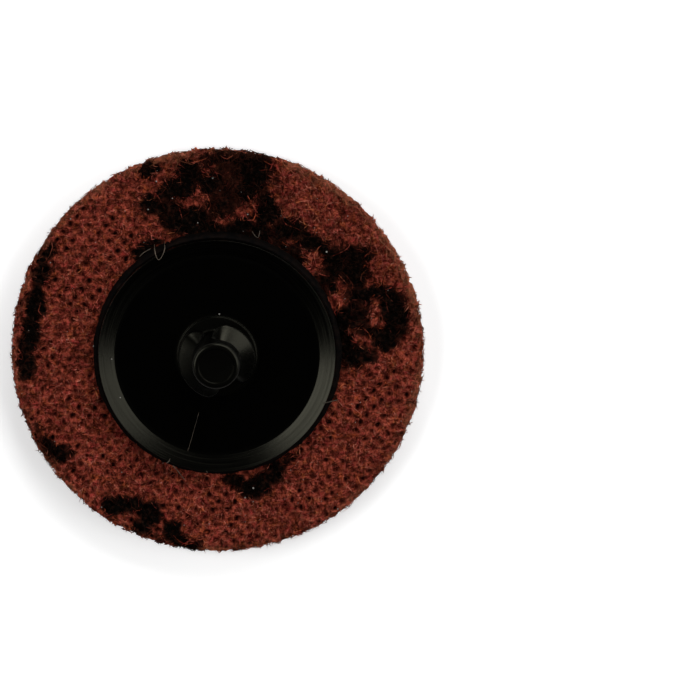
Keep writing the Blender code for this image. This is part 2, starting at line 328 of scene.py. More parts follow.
def soiled_and_shaded_felt(tree, felt, place, clean):
    """The colour of felt: darker down in the holes and on the deeper fibres, which is painted shade; dusty at
    its cut edge, with a painted highlight stronger towards +X; brown then black with resin.
    """
    # Fibre ends, about half a millimetre apart, stand out of the resin.
    lumps = add_node(tree, "ShaderNodeTexNoise", {"Vector": place, "Scale": 1.0 / (0.45 * MM), "Detail": 3.0})
    stops = ((0.5, felt.resin), (0.74, felt.resin_lumps))
    resin = add_node(tree, "ShaderNodeValToRGB", {"Fac": lumps}, stops=stops)
    # Painted shade, darkest over the holes and on the fibres lowest in the felt
    hollow = add_node(tree, "ShaderNodeAttribute", attribute_name="hollow").outputs["Fac"]
    dusty = add_node(tree, "ShaderNodeAttribute", attribute_name="dusty").outputs["Fac"]
    stain = add_node(tree, "ShaderNodeAttribute", attribute_name="stain").outputs["Fac"]
    thin = add_node(tree, "ShaderNodeMapRange", {"Value": stain, "From Max": 0.5, "To Max": 0.9})
    thick = add_node(tree, "ShaderNodeMapRange", {"Value": stain, "From Min": 0.35, "From Max": 0.95})
    colour = clean
    for amount, tint in (
        (dusty, rgba(felt.edge_dust_and_light)),
        (hollow, rgba(felt.hollow)),
        (thin, rgba(felt.thin_resin)),
        (thick, resin),
    ):
        colour = add_node(tree, "ShaderNodeMix", {0: amount, 6: colour, 7: tint}, data_type="RGBA")
    return colour


def felt_ground_material(felt):
    """Nylon felt, needled through a woven scrim: matte all over, and near black between its fibres, where its
    colour is darkened with painted shade.
    """
    material, tree, place = new_material("needled_nylon_felt")
    # Matted fibre lies in tufts a third of a millimetre wide; the dark stop between the tufts is painted
    # shade.
    tufts = add_node(tree, "ShaderNodeTexNoise", {"Vector": place, "Scale": 1.0 / (0.35 * MM), "Detail": 4.0})
    stops = ((0.25, felt.hollow), (0.42, felt.ground), (0.65, felt.dark_fibre))
    clean = add_node(tree, "ShaderNodeValToRGB", {"Fac": tufts}, stops=stops)
    relief = add_node(tree, "ShaderNodeBump", {"Height": tufts, "Distance": 0.15 * MM, "Strength": 0.8})
    shader = add_node(
        tree,
        "ShaderNodeBsdfPrincipled",
        {
            "Base Color": soiled_and_shaded_felt(tree, felt, place, clean),
            "Roughness": 0.9,
            "Specular IOR Level": 0.05,
            "Normal": relief,
        },
    )
    add_node(tree, "ShaderNodeOutputMaterial", {"Surface": shader})
    return material


def felt_fibre_material(felt):
    """Crimped nylon staple fibre, dyed in the tow: dull, each fibre with its own depth of rust."""
    material, tree, place = new_material("crimped_nylon_fibre")
    tone = add_node(tree, "ShaderNodeAttribute", attribute_name="tone").outputs["Fac"]
    stops = ((0.0, felt.dark_fibre), (0.3, felt.fibre), (0.75, felt.fibre), (1.0, felt.light_fibre))
    own = add_node(tree, "ShaderNodeValToRGB", {"Fac": tone}, stops=stops)
    # The fibres bunch along the yarns, each bunch about half a millimetre wide, higher or lower, and the
    # lower bunches are darkened with painted shade.
    bunch_heights = []
    for stretch in ((0.4, 1.0, 1.0), (1.0, 0.4, 1.0)):
        turned = add_node(
            tree,
            "ShaderNodeMapping",
            {"Vector": place, "Rotation": (0.0, 0.0, -WEAVE_TURN), "Scale": stretch},
        )
        bunch_heights.append(
            add_node(tree, "ShaderNodeTexNoise", {"Vector": turned, "Scale": 1.0 / (0.4 * MM), "Detail": 1.0})
        )
    higher = add_node(tree, "ShaderNodeMath", {0: bunch_heights[0], 1: bunch_heights[1]}, operation="MAXIMUM")
    stops = ((0.49, linear("#5f534c")), (0.67, linear("#ffffff")))
    bunch_shade = add_node(tree, "ShaderNodeValToRGB", {"Fac": higher}, stops=stops)
    # Wear and dust shade the felt over 2 to 3 mm.
    wear = add_node(tree, "ShaderNodeTexNoise", {"Vector": place, "Scale": 1.0 / (2.3 * MM), "Detail": 1.0})
    stops = ((0.35, linear("#c9c2c0")), (0.65, linear("#ffffff")))
    shaded = add_node(tree, "ShaderNodeValToRGB", {"Fac": wear}, stops=stops)
    # Two dye lots are carded together, so wine red and brown rust alternate from tuft to tuft.
    lots = add_node(tree, "ShaderNodeTexNoise", {"Vector": place, "Scale": 1.0 / (0.9 * MM), "Detail": 2.0})
    stops = ((0.38, linear("#f4bccb")), (0.5, linear("#ffffff")), (0.62, linear("#ffeebc")))
    lot = add_node(tree, "ShaderNodeValToRGB", {"Fac": lots}, stops=stops)
    dyed = own
    for layer in (bunch_shade, shaded, lot):
        dyed = add_node(
            tree, "ShaderNodeMix", {0: 1.0, 6: dyed, 7: layer}, data_type="RGBA", blend_type="MULTIPLY"
        )
    shader = add_node(
        tree,
        "ShaderNodeBsdfPrincipled",
        {
            "Base Color": soiled_and_shaded_felt(tree, felt, place, dyed),
            "Roughness": 0.7,
            "Specular IOR Level": 0.03,
        },
    )
    add_node(tree, "ShaderNodeOutputMaterial", {"Surface": shader})
    return material


def web_core_material(web):
    """Nylon web bonded with sprayed resin, seen in its own shadow: near black with a maroon cast."""
    material, tree, place = new_material("resin_bonded_nylon_core")
    # Resin clots on the fibre about every half millimetre.
    clots = {"Vector": place, "Scale": 1.0 / (0.5 * MM), "Detail": 5.0}
    speckle = add_node(tree, "ShaderNodeTexNoise", clots)
    stops = ((0.35, web.core), (0.6, web.dark_fibre), (0.75, web.fibre))
    colour = add_node(tree, "ShaderNodeValToRGB", {"Fac": speckle}, stops=stops)
    relief = add_node(tree, "ShaderNodeBump", {"Height": speckle, "Distance": 0.25 * MM})
    shader = add_node(
        tree,
        "ShaderNodeBsdfPrincipled",
        {"Base Color": colour, "Roughness": 0.7, "Specular IOR Level": 0.08, "Normal": relief},
    )
    add_node(tree, "ShaderNodeOutputMaterial", {"Surface": shader})
    return material


def web_fibre_material(web):
    """Nylon fibre coated with resin and abrasive grain: maroon, with hard pale glints on its lumps."""
    material, tree, place = new_material("grain_coated_nylon_fibre")
    tone = add_node(tree, "ShaderNodeAttribute", attribute_name="tone").outputs["Fac"]
    stops = ((0.0, web.dark_fibre), (0.5, web.fibre), (0.9, web.fibre), (1.0, web.light_fibre))
    own = add_node(tree, "ShaderNodeValToRGB", {"Fac": tone}, stops=stops)
    # Grain of about 0.1 mm stands out of the resin.
    grit = add_node(tree, "ShaderNodeTexVoronoi", {"Vector": place, "Scale": 1.0 / (0.12 * MM)})
    stops = ((0.0, linear("#ffffff")), (0.6, linear("#a08c8c")))
    lumps = add_node(tree, "ShaderNodeValToRGB", {"Fac": grit}, stops=stops)
    colour = add_node(
        tree, "ShaderNodeMix", {0: 1.0, 6: own, 7: lumps}, data_type="RGBA", blend_type="MULTIPLY"
    )
    relief = add_node(tree, "ShaderNodeBump", {"Height": grit, "Distance": 0.05 * MM, "Strength": 0.7})
    shader = add_node(
        tree,
        "ShaderNodeBsdfPrincipled",
        {"Base Color": colour, "Roughness": 0.3, "Specular IOR Level": 0.3, "Normal": relief},
    )
    add_node(tree, "ShaderNodeOutputMaterial", {"Surface": shader})
    return material


def button_material(button):
    """Injection-moulded nylon with black pigment: a soft, even gloss, a little cloudy from its flow."""
    material, tree, place = new_material("moulded_black_nylon")
    flow = add_node(tree, "ShaderNodeTexNoise", {"Vector": place, "Scale": 1.0 / (2.4 * MM), "Detail": 3.0})
    cloudy = add_node(tree, "ShaderNodeMapRange", {"Value": flow, "To Min": 0.14, "To Max": 0.2})
    # The holder rubs the rim's slope and the thread, so both are duller than the recess.
    parts = add_node(tree, "ShaderNodeSeparateXYZ", {0: place}).outputs
    flat = add_node(tree, "ShaderNodeCombineXYZ", {0: parts[0], 1: parts[1]})
    radius = add_node(tree, "ShaderNodeVectorMath", {0: flat}, operation="LENGTH")
    slope = add_node(
        tree,
        "ShaderNodeMapRange",
        {"Value": radius, "From Min": 11.8 * MM, "From Max": 12.4 * MM, "To Max": 0.08},
    )
    thread = add_node(
        tree,
        "ShaderNodeMapRange",
        {"Value": radius, "From Min": 5.2 * MM, "From Max": 4.9 * MM, "To Max": 0.11},
    )
    # Its twist leaves fine streaks round the slope, each about a quarter of a millimetre wide.
    angle = add_node(tree, "ShaderNodeMath", {0: parts[1], 1: parts[0]}, operation="ARCTAN2")
    rings = add_node(tree, "ShaderNodeMath", {0: radius, 1: 0.25 * MM}, operation="DIVIDE")
    round_it = add_node(tree, "ShaderNodeCombineXYZ", {0: rings, 1: angle})
    streaks = add_node(tree, "ShaderNodeTexNoise", {"Vector": round_it, "Scale": 1.0, "Detail": 3.0})
    streaks = add_node(
        tree,
        "ShaderNodeMapRange",
        {"Value": streaks, "From Min": 0.3, "From Max": 0.7, "To Max": 2.0},
    )
    slope = add_node(tree, "ShaderNodeMath", {0: slope, 1: streaks}, operation="MULTIPLY")
    gloss = add_node(tree, "ShaderNodeMath", {0: cloudy, 1: slope})
    gloss = add_node(tree, "ShaderNodeMath", {0: gloss, 1: thread})
    # The mould's spark-eroded skin is about 0.2 mm across its grains.
    skin = add_node(tree, "ShaderNodeTexNoise", {"Vector": place, "Scale": 1.0 / (0.22 * MM), "Detail": 3.0})
    relief = add_node(tree, "ShaderNodeBump", {"Height": skin, "Distance": 0.02 * MM, "Strength": 0.25})
    shader = add_node(
        tree,
        "ShaderNodeBsdfPrincipled",
        {
            "Base Color": rgba(button.nylon),
            "Roughness": gloss,
            "IOR": 1.53,
            "Specular IOR Level": 0.15,
            # Painted tint: the reflections are warmed to stand for the lamps' colour
            "Specular Tint": rgba(linear("#fbf8dc")),
            "Normal": relief,
        },
    )
    add_node(tree, "ShaderNodeOutputMaterial", {"Surface": shader})
    return material


def glue_material(button):
    """Black hot-melt glue, squeezed out and set: dull from felt dust, and lumpy."""
    material, tree, place = new_material("squeezed_hot_melt")
    lumps = add_node(tree, "ShaderNodeTexNoise", {"Vector": place, "Scale": 1.0 / (0.8 * MM), "Detail": 3.0})
    stops = ((0.4, button.glue), (0.75, linear("#120a07")))
    colour = add_node(tree, "ShaderNodeValToRGB", {"Fac": lumps}, stops=stops)
    relief = add_node(tree, "ShaderNodeBump", {"Height": lumps, "Distance": 0.12 * MM, "Strength": 0.8})
    shader = add_node(
        tree,
        "ShaderNodeBsdfPrincipled",
        {"Base Color": colour, "Roughness": 0.85, "Specular IOR Level": 0.05, "Normal": relief},
    )
    add_node(tree, "ShaderNodeOutputMaterial", {"Surface": shader})
    return material


def loose_fibre_material():
    """Nylon fibre that broke off before it was coated: grey-brown, thin and dull."""
    material, tree, place = new_material("loose_nylon_fibre")
    patches = add_node(tree, "ShaderNodeTexNoise", {"Vector": place, "Scale": 1.0 / (1.2 * MM)})
    stops = ((0.3, linear("#2f2a24")), (0.7, linear("#6b5f52")))
    colour = add_node(tree, "ShaderNodeValToRGB", {"Fac": patches}, stops=stops)
    shader = add_node(
        tree,
        "ShaderNodeBsdfPrincipled",
        {"Base Color": colour, "Roughness": 0.5, "Specular IOR Level": 0.2},
    )
    add_node(tree, "ShaderNodeOutputMaterial", {"Surface": shader})
    return material


def dust_material():
    """Grain and filings knocked off in the box: small, pale and matte."""
    material, tree, place = new_material("grinding_dust")
    patches = add_node(tree, "ShaderNodeTexNoise", {"Vector": place, "Scale": 1.0 / (0.15 * MM)})
    stops = ((0.3, linear("#5e5b56")), (0.7, linear("#b4b1aa")))
    colour = add_node(tree, "ShaderNodeValToRGB", {"Fac": patches}, stops=stops)
    shader = add_node(tree, "ShaderNodeBsdfPrincipled", {"Base Color": colour, "Roughness": 0.9})
    add_node(tree, "ShaderNodeOutputMaterial", {"Surface": shader})
    return material


def floor_material(stage):
    """Matte coated board: white to the eye, and it keeps the disc's shadow."""
    material, tree, place = new_material("matte_white_board")
    clouds = add_node(tree, "ShaderNodeTexNoise", {"Vector": place, "Scale": 1.0 / (120.0 * MM)})
    shade = tuple(0.985 * c for c in stage.floor)
    colour = add_node(tree, "ShaderNodeValToRGB", {"Fac": clouds}, stops=((0.3, shade), (0.7, stage.floor)))
    # Straight views and mirror images of the board are lifted to white. The light it gives is not.
    ray = add_node(tree, "ShaderNodeLightPath").outputs
    seen = add_node(
        tree, "ShaderNodeMath", {0: ray["Is Camera Ray"], 1: ray["Is Glossy Ray"]}, operation="MAXIMUM"
    )
    seen = add_node(
        tree, "ShaderNodeMath", {0: seen, 1: ray["Is Transmission Ray"]}, operation="MAXIMUM"
    )
    lift = add_node(tree, "ShaderNodeMath", {0: seen, 1: stage.floor_lift}, operation="MULTIPLY")
    shader = add_node(
        tree,
        "ShaderNodeBsdfPrincipled",
        {
            "Base Color": colour,
            "Roughness": 0.9,
            "Specular IOR Level": 0.1,
            "Emission Color": rgba(linear("#ffffff")),
            "Emission Strength": lift,
        },
    )
    add_node(tree, "ShaderNodeOutputMaterial", {"Surface": shader})
    return material


# Shapes


def finish(obj, material, slot, *replaced):
    """Gives a piece its material, hangs it on the disc and hides the solids that it stands for."""
    obj.data.materials.clear()
    obj.data.materials.append(material)
    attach(obj, BODY)
    if replaced:
        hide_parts(*replaced)
    return obj


def object_of(name, data):
    """An object of a mesh, lamp or camera, linked to the scene."""
    obj = bpy.data.objects.new(name, data)
    bpy.context.scene.collection.objects.link(obj)
    return obj


def shell_of_rings(name, rings, smooth=True):
    """A closed round shell through rings of points, each an (n, 3) array, with its ends closed."""
    steps = len(rings[0])
    points = np.concatenate(list(rings) + [rings[0].mean(0)[None], rings[-1].mean(0)[None]])
    first, last = len(points) - 2, len(points) - 1
    faces = []
    for r in range(len(rings) - 1):
        low, high = r * steps, (r + 1) * steps
        for k in range(steps):
            n = (k + 1) % steps
            faces.append((low + k, low + n, high + n, high + k))
    base = (len(rings) - 1) * steps
    for k in range(steps):
        n = (k + 1) % steps
        faces.append((n, k, first))
        faces.append((base + k, base + n, last))
    mesh = bpy.data.meshes.new(name)
    mesh.from_pydata(points.tolist(), [], faces)
    shape = bmesh.new()
    shape.from_mesh(mesh)
    bmesh.ops.recalc_face_normals(shape, faces=shape.faces)
    shape.to_mesh(mesh)
    shape.free()
    if smooth:
        mesh.shade_smooth()
    return object_of(name, mesh)


def ring_points(radius, height, steps):
    """One ring of points. Radius and height are numbers or arrays, one value for each step."""
    angle = np.arange(steps) * 2.0 * math.pi / steps
    flat = np.zeros(steps)
    return np.stack(((radius + flat) * np.cos(angle), (radius + flat) * np.sin(angle), height + flat), 1)


def roughness_at(points, size, seed=0.0):
    """Smooth noise from -1 to 1 at each point, with features of about one size."""
    scaled = points / size + seed
    return np.array([noise.noise(p) for p in scaled.tolist()])


def store(mesh, name, values):
    """Keeps one number for each vertex under a name that a material can read."""
    layer = mesh.attributes.new(name, "FLOAT", "POINT")
    layer.data.foreach_set("value", np.asarray(values, dtype=np.float32))


def vertex_array(mesh):
    """The places of a mesh's vertices as an (n, 3) array."""
    places = np.empty(len(mesh.vertices) * 3, dtype=np.float32)
    mesh.vertices.foreach_get("co", places)
    return places.reshape(-1, 3).astype(float)


def move_vertices(mesh, points):
    """Moves a mesh's vertices to the places of an (n, 3) array."""
    mesh.vertices.foreach_set("co", points.astype(np.float32).ravel())
    mesh.update()


def smooth_step(value):
    """An ease from 0 to 1 as the value goes from 0 to 1."""
    value = np.clip(value, 0.0, 1.0)
    return value * value * (3.0 - 2.0 * value)


def oval_reach(points, oval):
    """How far each point is from an oval's middle, as a share of the way to its edge."""
    x, y, long, wide, turn = oval[:5]
    cosine, sine = math.cos(math.radians(turn)), math.sin(math.radians(turn))
    dx, dy = points[:, 0] / MM - x, points[:, 1] / MM - y
    along, across = dx * cosine + dy * sine, dy * cosine - dx * sine
    return np.hypot(along / long, across / wide)


def stain_at(points, shift=0.0):
    """How much resin has soaked in at each point: 0 is clean and 1 is black."""
    flat = points * (1.0, 1.0, 0.0)
    moved = flat.copy()
    # A stain's outline wanders, most of it over 1.5 mm and a little over half a millimetre.
    for axis, seed in ((0, 3.1), (1, 8.7)):
        moved[:, axis] += 0.75 * MM * roughness_at(flat, 1.5 * MM, seed)
        moved[:, axis] += 0.3 * MM * roughness_at(flat, 0.5 * MM, seed + 20.0)
    soaked = np.zeros(len(points))
    for oval in STAINS:
        edge = smooth_step((oval_reach(moved, oval) - 0.7) / 0.85)
        soaked = np.maximum(soaked, oval[5] * (1.0 - edge))
    for oval in CLEAN_PATCHES:
        soaked -= oval[5] * (1.0 - smooth_step((oval_reach(moved, oval) - 0.4) / 0.8))
    # At the left, and less at the top, the rim is worn and the resin on it is rubbed brown.
    radius = np.hypot(flat[:, 0], flat[:, 1])
    sides = np.maximum(smooth_step(-flat[:, 0] / (14.0 * MM)), 0.6 * smooth_step(flat[:, 1] / (20.0 * MM)))
    worn = smooth_step((radius - DISC_RADIUS + 1.3 * MM) / MM) * sides
    soaked -= 0.5 * worn
    # Resin wets the fibre unevenly, in spots of 0.4 to 0.9 mm.
    patchy = 0.35 * roughness_at(flat, 0.85 * MM, 41.0) + 0.5 * roughness_at(flat, 0.42 * MM, 47.0)
    return np.clip(1.2 * (soaked - 0.5) + 0.54 + patchy + shift, 0.0, 1.0)


def matted_side(points):
    """How far each point is towards the side where the felt is thickest and hides the weave."""
    towards = 0.5 * points[:, 0] + 0.87 * points[:, 1]
    return smooth_step((towards - 8.0 * MM) / (12.0 * MM))


def weave_at(points, felt):
    """The weave under the felt at each point: its height, how far it is inside a hole, and the way out."""
    cosine, sine = math.cos(WEAVE_TURN), math.sin(WEAVE_TURN)
    # The yarns wander a little off their rows, over 4 mm.
    wander = 0.12 * MM * roughness_at(points * (1.0, 1.0, 0.0), 4.0 * MM, 5.5)
    along = (points[:, 0] * cosine + points[:, 1] * sine + wander) / YARN_PITCH
    across = (points[:, 1] * cosine - points[:, 0] * sine + wander) / ROW_PITCH
    column, row = np.round(along), np.round(across)
    cells = np.stack((column, row, np.zeros(len(row))), 1)
    # Holes are open or matted over in patches of about three cells, and also one by one.
    openness = 0.74 + 0.9 * roughness_at(cells * 0.31, 1.0, 17.0)
    openness += 0.65 * roughness_at(cells * 0.83, 1.0, 29.0)
    openness = np.clip(openness, 0.05, 1.1) * (1.0 - 0.55 * matted_side(points))
    from_u = (along - column - 0.24 * roughness_at(cells * 0.37, 1.0, 51.0)) * YARN_PITCH
    from_v = (across - row - 0.24 * roughness_at(cells * 0.37, 1.0, 77.0)) * ROW_PITCH
    # A hole is a little longer along its row, and its outline is frayed.
    away = np.hypot(0.85 * from_u, 1.05 * from_v)
    away *= 1.0 + 0.7 * roughness_at(points * (1.0, 1.0, 0.0), 0.45 * MM, 91.0)
    hole = openness * (1.0 - smooth_step((away / felt.hole_radius - 0.25) / 1.15))
    swell = np.cos(math.pi * (along - column)) ** 2 * np.cos(math.pi * (across - row)) ** 2
    out = np.stack((from_u * cosine - from_v * sine, from_u * sine + from_v * cosine), 1)
    out /= np.maximum(np.hypot(from_u, from_v), 0.05 * MM)[:, None]
    return felt.yarn_swell * (0.5 - swell) - felt.hole_depth * hole, np.clip(hole, 0.0, 1.0), out


def dust_and_edge_light_at(points):
    """How much pale colour the cut edge takes at each point: none inside, and patches of it along the cut
    edge, partly dust and partly a painted highlight that is stronger towards +X.
    """
    radius = np.hypot(points[:, 0], points[:, 1])
    patches = 0.45 + 0.9 * roughness_at(points, 2.6 * MM, 63.0) + 0.5 * roughness_at(points, 0.5 * MM, 71.0)
    # Painted highlight: the edge is paler towards +X and a little +Y, where the lamps light it
    side = 0.8 + 0.35 * (0.9 * points[:, 0] + 0.4 * points[:, 1]) / np.maximum(radius, MM)
    edge = smooth_step((radius - DISC_RADIUS + 1.3 * MM) / (1.0 * MM))
    return np.clip(patches * side, 0.0, 0.85) * edge


def backing_rings(low, edge_round):
    """The rings of the scrim's shell: its top from under the flange outwards, its edge and its underside."""
    radii = np.linspace(FLANGE_RADIUS - 0.9 * MM, DISC_RADIUS - edge_round, 54)
    rings = [ring_points(0.5 * FLANGE_RADIUS, FELT_LEVEL - 0.4 * MM, BACKING_STEPS)]
    rings += [ring_points(radius, FELT_LEVEL, BACKING_STEPS) for radius in radii]
    for angle in np.radians((30.0, 60.0, 90.0)):
        radius = DISC_RADIUS - edge_round * (1.0 - math.sin(angle))
        height = FELT_LEVEL - edge_round * (1.0 - math.cos(angle))
        rings.append(ring_points(radius, height, BACKING_STEPS))
    side = np.linspace(FELT_LEVEL - edge_round, low, 7)[1:]
    rings += [ring_points(DISC_RADIUS, height, BACKING_STEPS) for height in side]
    rings += [ring_points(share * DISC_RADIUS, low, BACKING_STEPS) for share in (0.985, 0.5)]
    return rings


def mark_backing(mesh, points, radius, hole, on_top, low):
    """Notes on the scrim what colours it, and how densely each kind of fibre grows on it. The radius is
    each point's before the edge was made ragged."""
    above_web = points[:, 2] > low + 0.2 * MM
    open_felt = smooth_step((radius - FLANGE_RADIUS - 0.1 * MM) / (0.3 * MM)) * above_web
    # Painted shade darkens the scrim where it dips into a hole
    store(mesh, "hollow", hole * on_top)
    store(mesh, "stain", stain_at(points) * smooth_step((points[:, 2] - low) / (0.5 * MM)))
    store(mesh, "dusty", 0.4 * dust_and_edge_light_at(points))
    store(mesh, "cover", (1.0 - 0.85 * hole) * open_felt * (1.0 - 0.45 * matted_side(points)))
    store(mesh, "curls", (0.3 + 0.7 * matted_side(points)) * open_felt)
    clumps = smooth_step(0.4 + 2.2 * roughness_at(points * (1.0, 1.0, 0.2), 0.75 * MM, 83.0))
    clumps *= 0.6 + 0.9 * matted_side(points)
    store(mesh, "fringe", clumps * open_felt * (radius > DISC_RADIUS - 0.6 * MM))


def backing_shell(felt):
    """The felted scrim as one closed shell, with its holes, its matting and a fuzzy die-cut edge."""
    edge_round = 0.35 * MM
    low = WEB_LEVEL - 0.05 * MM
    shell = shell_of_rings("felted_scrim", backing_rings(low, edge_round))
    mesh = shell.data
    points = vertex_array(mesh)
    radius = np.hypot(points[:, 0], points[:, 1])
    on_top = smooth_step((points[:, 2] - low) / (FELT_LEVEL - low - edge_round))
    height, hole, _ = weave_at(points, felt)
    matted = roughness_at(points, 1.1 * MM, 2.0) + 0.6 * roughness_at(points, 0.42 * MM, 9.0)
    matted += 0.35 * roughness_at(points, 0.2 * MM, 13.0)
    # The flange presses the felt down beside it.
    settle = smooth_step((FLANGE_RADIUS + 1.4 * MM - radius) / (1.2 * MM))
    lift = (height * (1.0 - 0.6 * settle) + felt.matting * matted - 0.15 * MM * settle) * on_top
    level = points[:, 2] + lift * (radius < DISC_RADIUS - 0.5 * edge_round)
    ragged = 0.22 * roughness_at(points, 0.9 * MM, 31.0) + 0.22 * roughness_at(points, 0.4 * MM, 37.0)
    near_edge = smooth_step((radius / DISC_RADIUS - 0.96) / 0.035)
    points[:, :2] *= (1.0 + (ragged - 0.3) * MM * near_edge / DISC_RADIUS)[:, None]
    points[:, 2] = level
    move_vertices(mesh, points)
    mark_backing(mesh, points, radius, hole, on_top, low)
    return shell


# The inputs of the fibre tree: name, kind of socket, and default
FIBRE_INPUTS = (
    ("Surface", "NodeSocketGeometry", None),
    ("Where", "NodeSocketString", "cover"),
    ("Fibres per Area", "NodeSocketFloat", 1.0e6),
    ("Length", "NodeSocketFloat", 2.0 * MM),
    ("Bend", "NodeSocketFloat", 0.5),
    ("Width", "NodeSocketFloat", 0.1 * MM),
    ("Tilt", "NodeSocketFloat", 0.1),
    ("Sink", "NodeSocketFloat", 0.0),
    ("Lift", "NodeSocketFloat", 0.1 * MM),
    ("Crimp", "NodeSocketFloat", 0.3 * MM),
    ("Crimp Length", "NodeSocketFloat", 1.2 * MM),
    ("Inner Reach", "NodeSocketFloat", 0.0),
    ("Outer Reach", "NodeSocketFloat", DISC_RADIUS),
    ("Stray", "NodeSocketFloat", 0.8 * MM),
    ("Lowest", "NodeSocketFloat", 0.0),
    ("Highest", "NodeSocketFloat", 10.0 * MM),
    ("Points", "NodeSocketInt", 8),
    ("Seed", "NodeSocketInt", 0),
    ("Material", "NodeSocketMaterial", None),
)


def draw_chances(tree, given):
    """The random numbers of each fibre, each with a seed of its own."""
    backward = add_node(tree, "ShaderNodeMath", {0: given["Tilt"], 1: -1.0}, operation="MULTIPLY")
    inward = add_node(tree, "ShaderNodeMath", {0: given["Sink"], 1: -1.0}, operation="MULTIPLY")
    ranges = (
        ("rise", inward, given["Lift"]),
        ("tilt_x", backward, given["Tilt"]),
        ("tilt_y", backward, given["Tilt"]),
        ("heading", 0.0, math.tau),
        ("stretch", 0.45, 1.5),
        ("bow", -1.0, 1.0),
        ("tone", 0.0, 1.0),
        ("girth", 0.6, 1.25),
    )
    chance = {}
    for number, (name, low, high) in enumerate(ranges):
        seed = add_node(tree, "ShaderNodeMath", {0: given["Seed"], 1: number + 1.0})
        chance[name] = add_node(
            tree, "FunctionNodeRandomValue", {2: low, 3: high, "Seed": seed}, data_type="FLOAT"
        )
    return chance


def scatter_roots(tree, given, chance):
    """Roots scattered by the named attribute, a little above or below the surface, and their facing."""
    where = add_node(
        tree, "GeometryNodeInputNamedAttribute", {"Name": given["Where"]}, data_type="FLOAT"
    )
    density = add_node(
        tree, "ShaderNodeMath", {0: where, 1: given["Fibres per Area"]}, operation="MULTIPLY"
    )
    scatter = add_node(
        tree,
        "GeometryNodeDistributePointsOnFaces",
        {"Mesh": given["Surface"], "Density": density, "Seed": given["Seed"]},
        distribute_method="RANDOM",
    ).outputs
    rise = add_node(
        tree,
        "ShaderNodeVectorMath",
        {0: scatter["Normal"], "Scale": chance["rise"]},
        operation="SCALE",
    )
    roots = add_node(tree, "GeometryNodeSetPosition", {"Geometry": scatter["Points"], "Offset": rise})
    return roots, scatter["Rotation"]


def bow_fibres(tree, given, chance, roots, facing):
    """One bowed fibre on each root, turned any way and tilted a little, with its tone and girth."""
    turn = add_node(
        tree, "ShaderNodeCombineXYZ", {0: chance["tilt_x"], 1: chance["tilt_y"], 2: chance["heading"]}
    )
    turn = add_node(tree, "FunctionNodeEulerToRotation", {0: turn})
    turned = add_node(
        tree,
        "FunctionNodeRotateRotation",
        {"Rotation": facing, "Rotate By": turn},
        rotation_space="LOCAL",
    )
    arc = add_node(
        tree,
        "GeometryNodeCurveQuadraticBezier",
        {
            "Resolution": given["Points"],
            "Start": (-0.5, -0.25, 0.0),
            "Middle": (0.0, 0.75, 0.0),
            "End": (0.5, -0.25, 0.0),
        },
    )
    long = add_node(
        tree, "ShaderNodeMath", {0: given["Length"], 1: chance["stretch"]}, operation="MULTIPLY"
    )
    bow = add_node(tree, "ShaderNodeMath", {0: given["Bend"], 1: chance["bow"]}, operation="MULTIPLY")
    swing = add_node(tree, "ShaderNodeMath", {0: long, 1: bow}, operation="MULTIPLY")
    size = add_node(tree, "ShaderNodeCombineXYZ", {0: long, 1: swing, 2: 1.0})
    laid = add_node(
        tree,
        "GeometryNodeInstanceOnPoints",
        {"Points": roots, "Instance": arc, "Rotation": turned, "Scale": size},
    )
    for name in ("tone", "girth"):
        laid = add_node(
            tree,
            "GeometryNodeStoreNamedAttribute",
            {"Geometry": laid, "Name": name, "Value": chance[name]},
            data_type="FLOAT",
            domain="INSTANCE",
        )
    return add_node(tree, "GeometryNodeRealizeInstances", {0: laid})


def crimp_fibres(tree, given, curves, spot):
    """Each fibre wanders by its own noise."""
    tone = add_node(tree, "GeometryNodeInputNamedAttribute", {"Name": "tone"}, data_type="FLOAT")
    drift = add_node(tree, "ShaderNodeMath", {0: tone, 1: 9.0}, operation="MULTIPLY")
    fineness = add_node(tree, "ShaderNodeMath", {0: 1.0, 1: given["Crimp Length"]}, operation="DIVIDE")
    wander = add_node(
        tree,
        "ShaderNodeTexNoise",
        {"Vector": spot, "W": drift, "Scale": fineness, "Detail": 1.0},
        noise_dimensions="4D",
    ).outputs["Color"]
    wander = add_node(tree, "ShaderNodeVectorMath", {0: wander, 1: (0.5, 0.5, 0.5)}, operation="SUBTRACT")
    crimp = add_node(
        tree, "ShaderNodeVectorMath", {0: wander, "Scale": given["Crimp"]}, operation="SCALE"
    )
    return add_node(tree, "GeometryNodeSetPosition", {"Geometry": curves, "Offset": crimp})


def die_cut(tree, given, curves, spot, radius):
    """Cuts every fibre off at the outer radius, a little further in or out from place to place."""
    ragged = add_node(tree, "ShaderNodeTexNoise", {"Vector": spot, "Scale": 1.0 / (0.55 * MM), "Detail": 1.0})
    ragged = add_node(tree, "ShaderNodeMath", {0: ragged, 1: 0.5}, operation="SUBTRACT")
    edge = add_node(
        tree,
        "ShaderNodeMath",
        {0: ragged, 1: given["Stray"], 2: given["Outer Reach"]},
        operation="MULTIPLY_ADD",
    )
    outside = add_node(tree, "FunctionNodeCompare", {0: radius, 1: edge}, operation="GREATER_THAN")
    curves = add_node(
        tree, "GeometryNodeDeleteGeometry", {"Geometry": curves, "Selection": outside}, domain="POINT"
    )
    left = add_node(tree, "GeometryNodeSplineLength").outputs["Point Count"]
    stub = add_node(tree, "FunctionNodeCompare", {2: left, 3: 2}, data_type="INT", operation="LESS_THAN")
    return add_node(
        tree, "GeometryNodeDeleteGeometry", {"Geometry": curves, "Selection": stub}, domain="CURVE"
    )


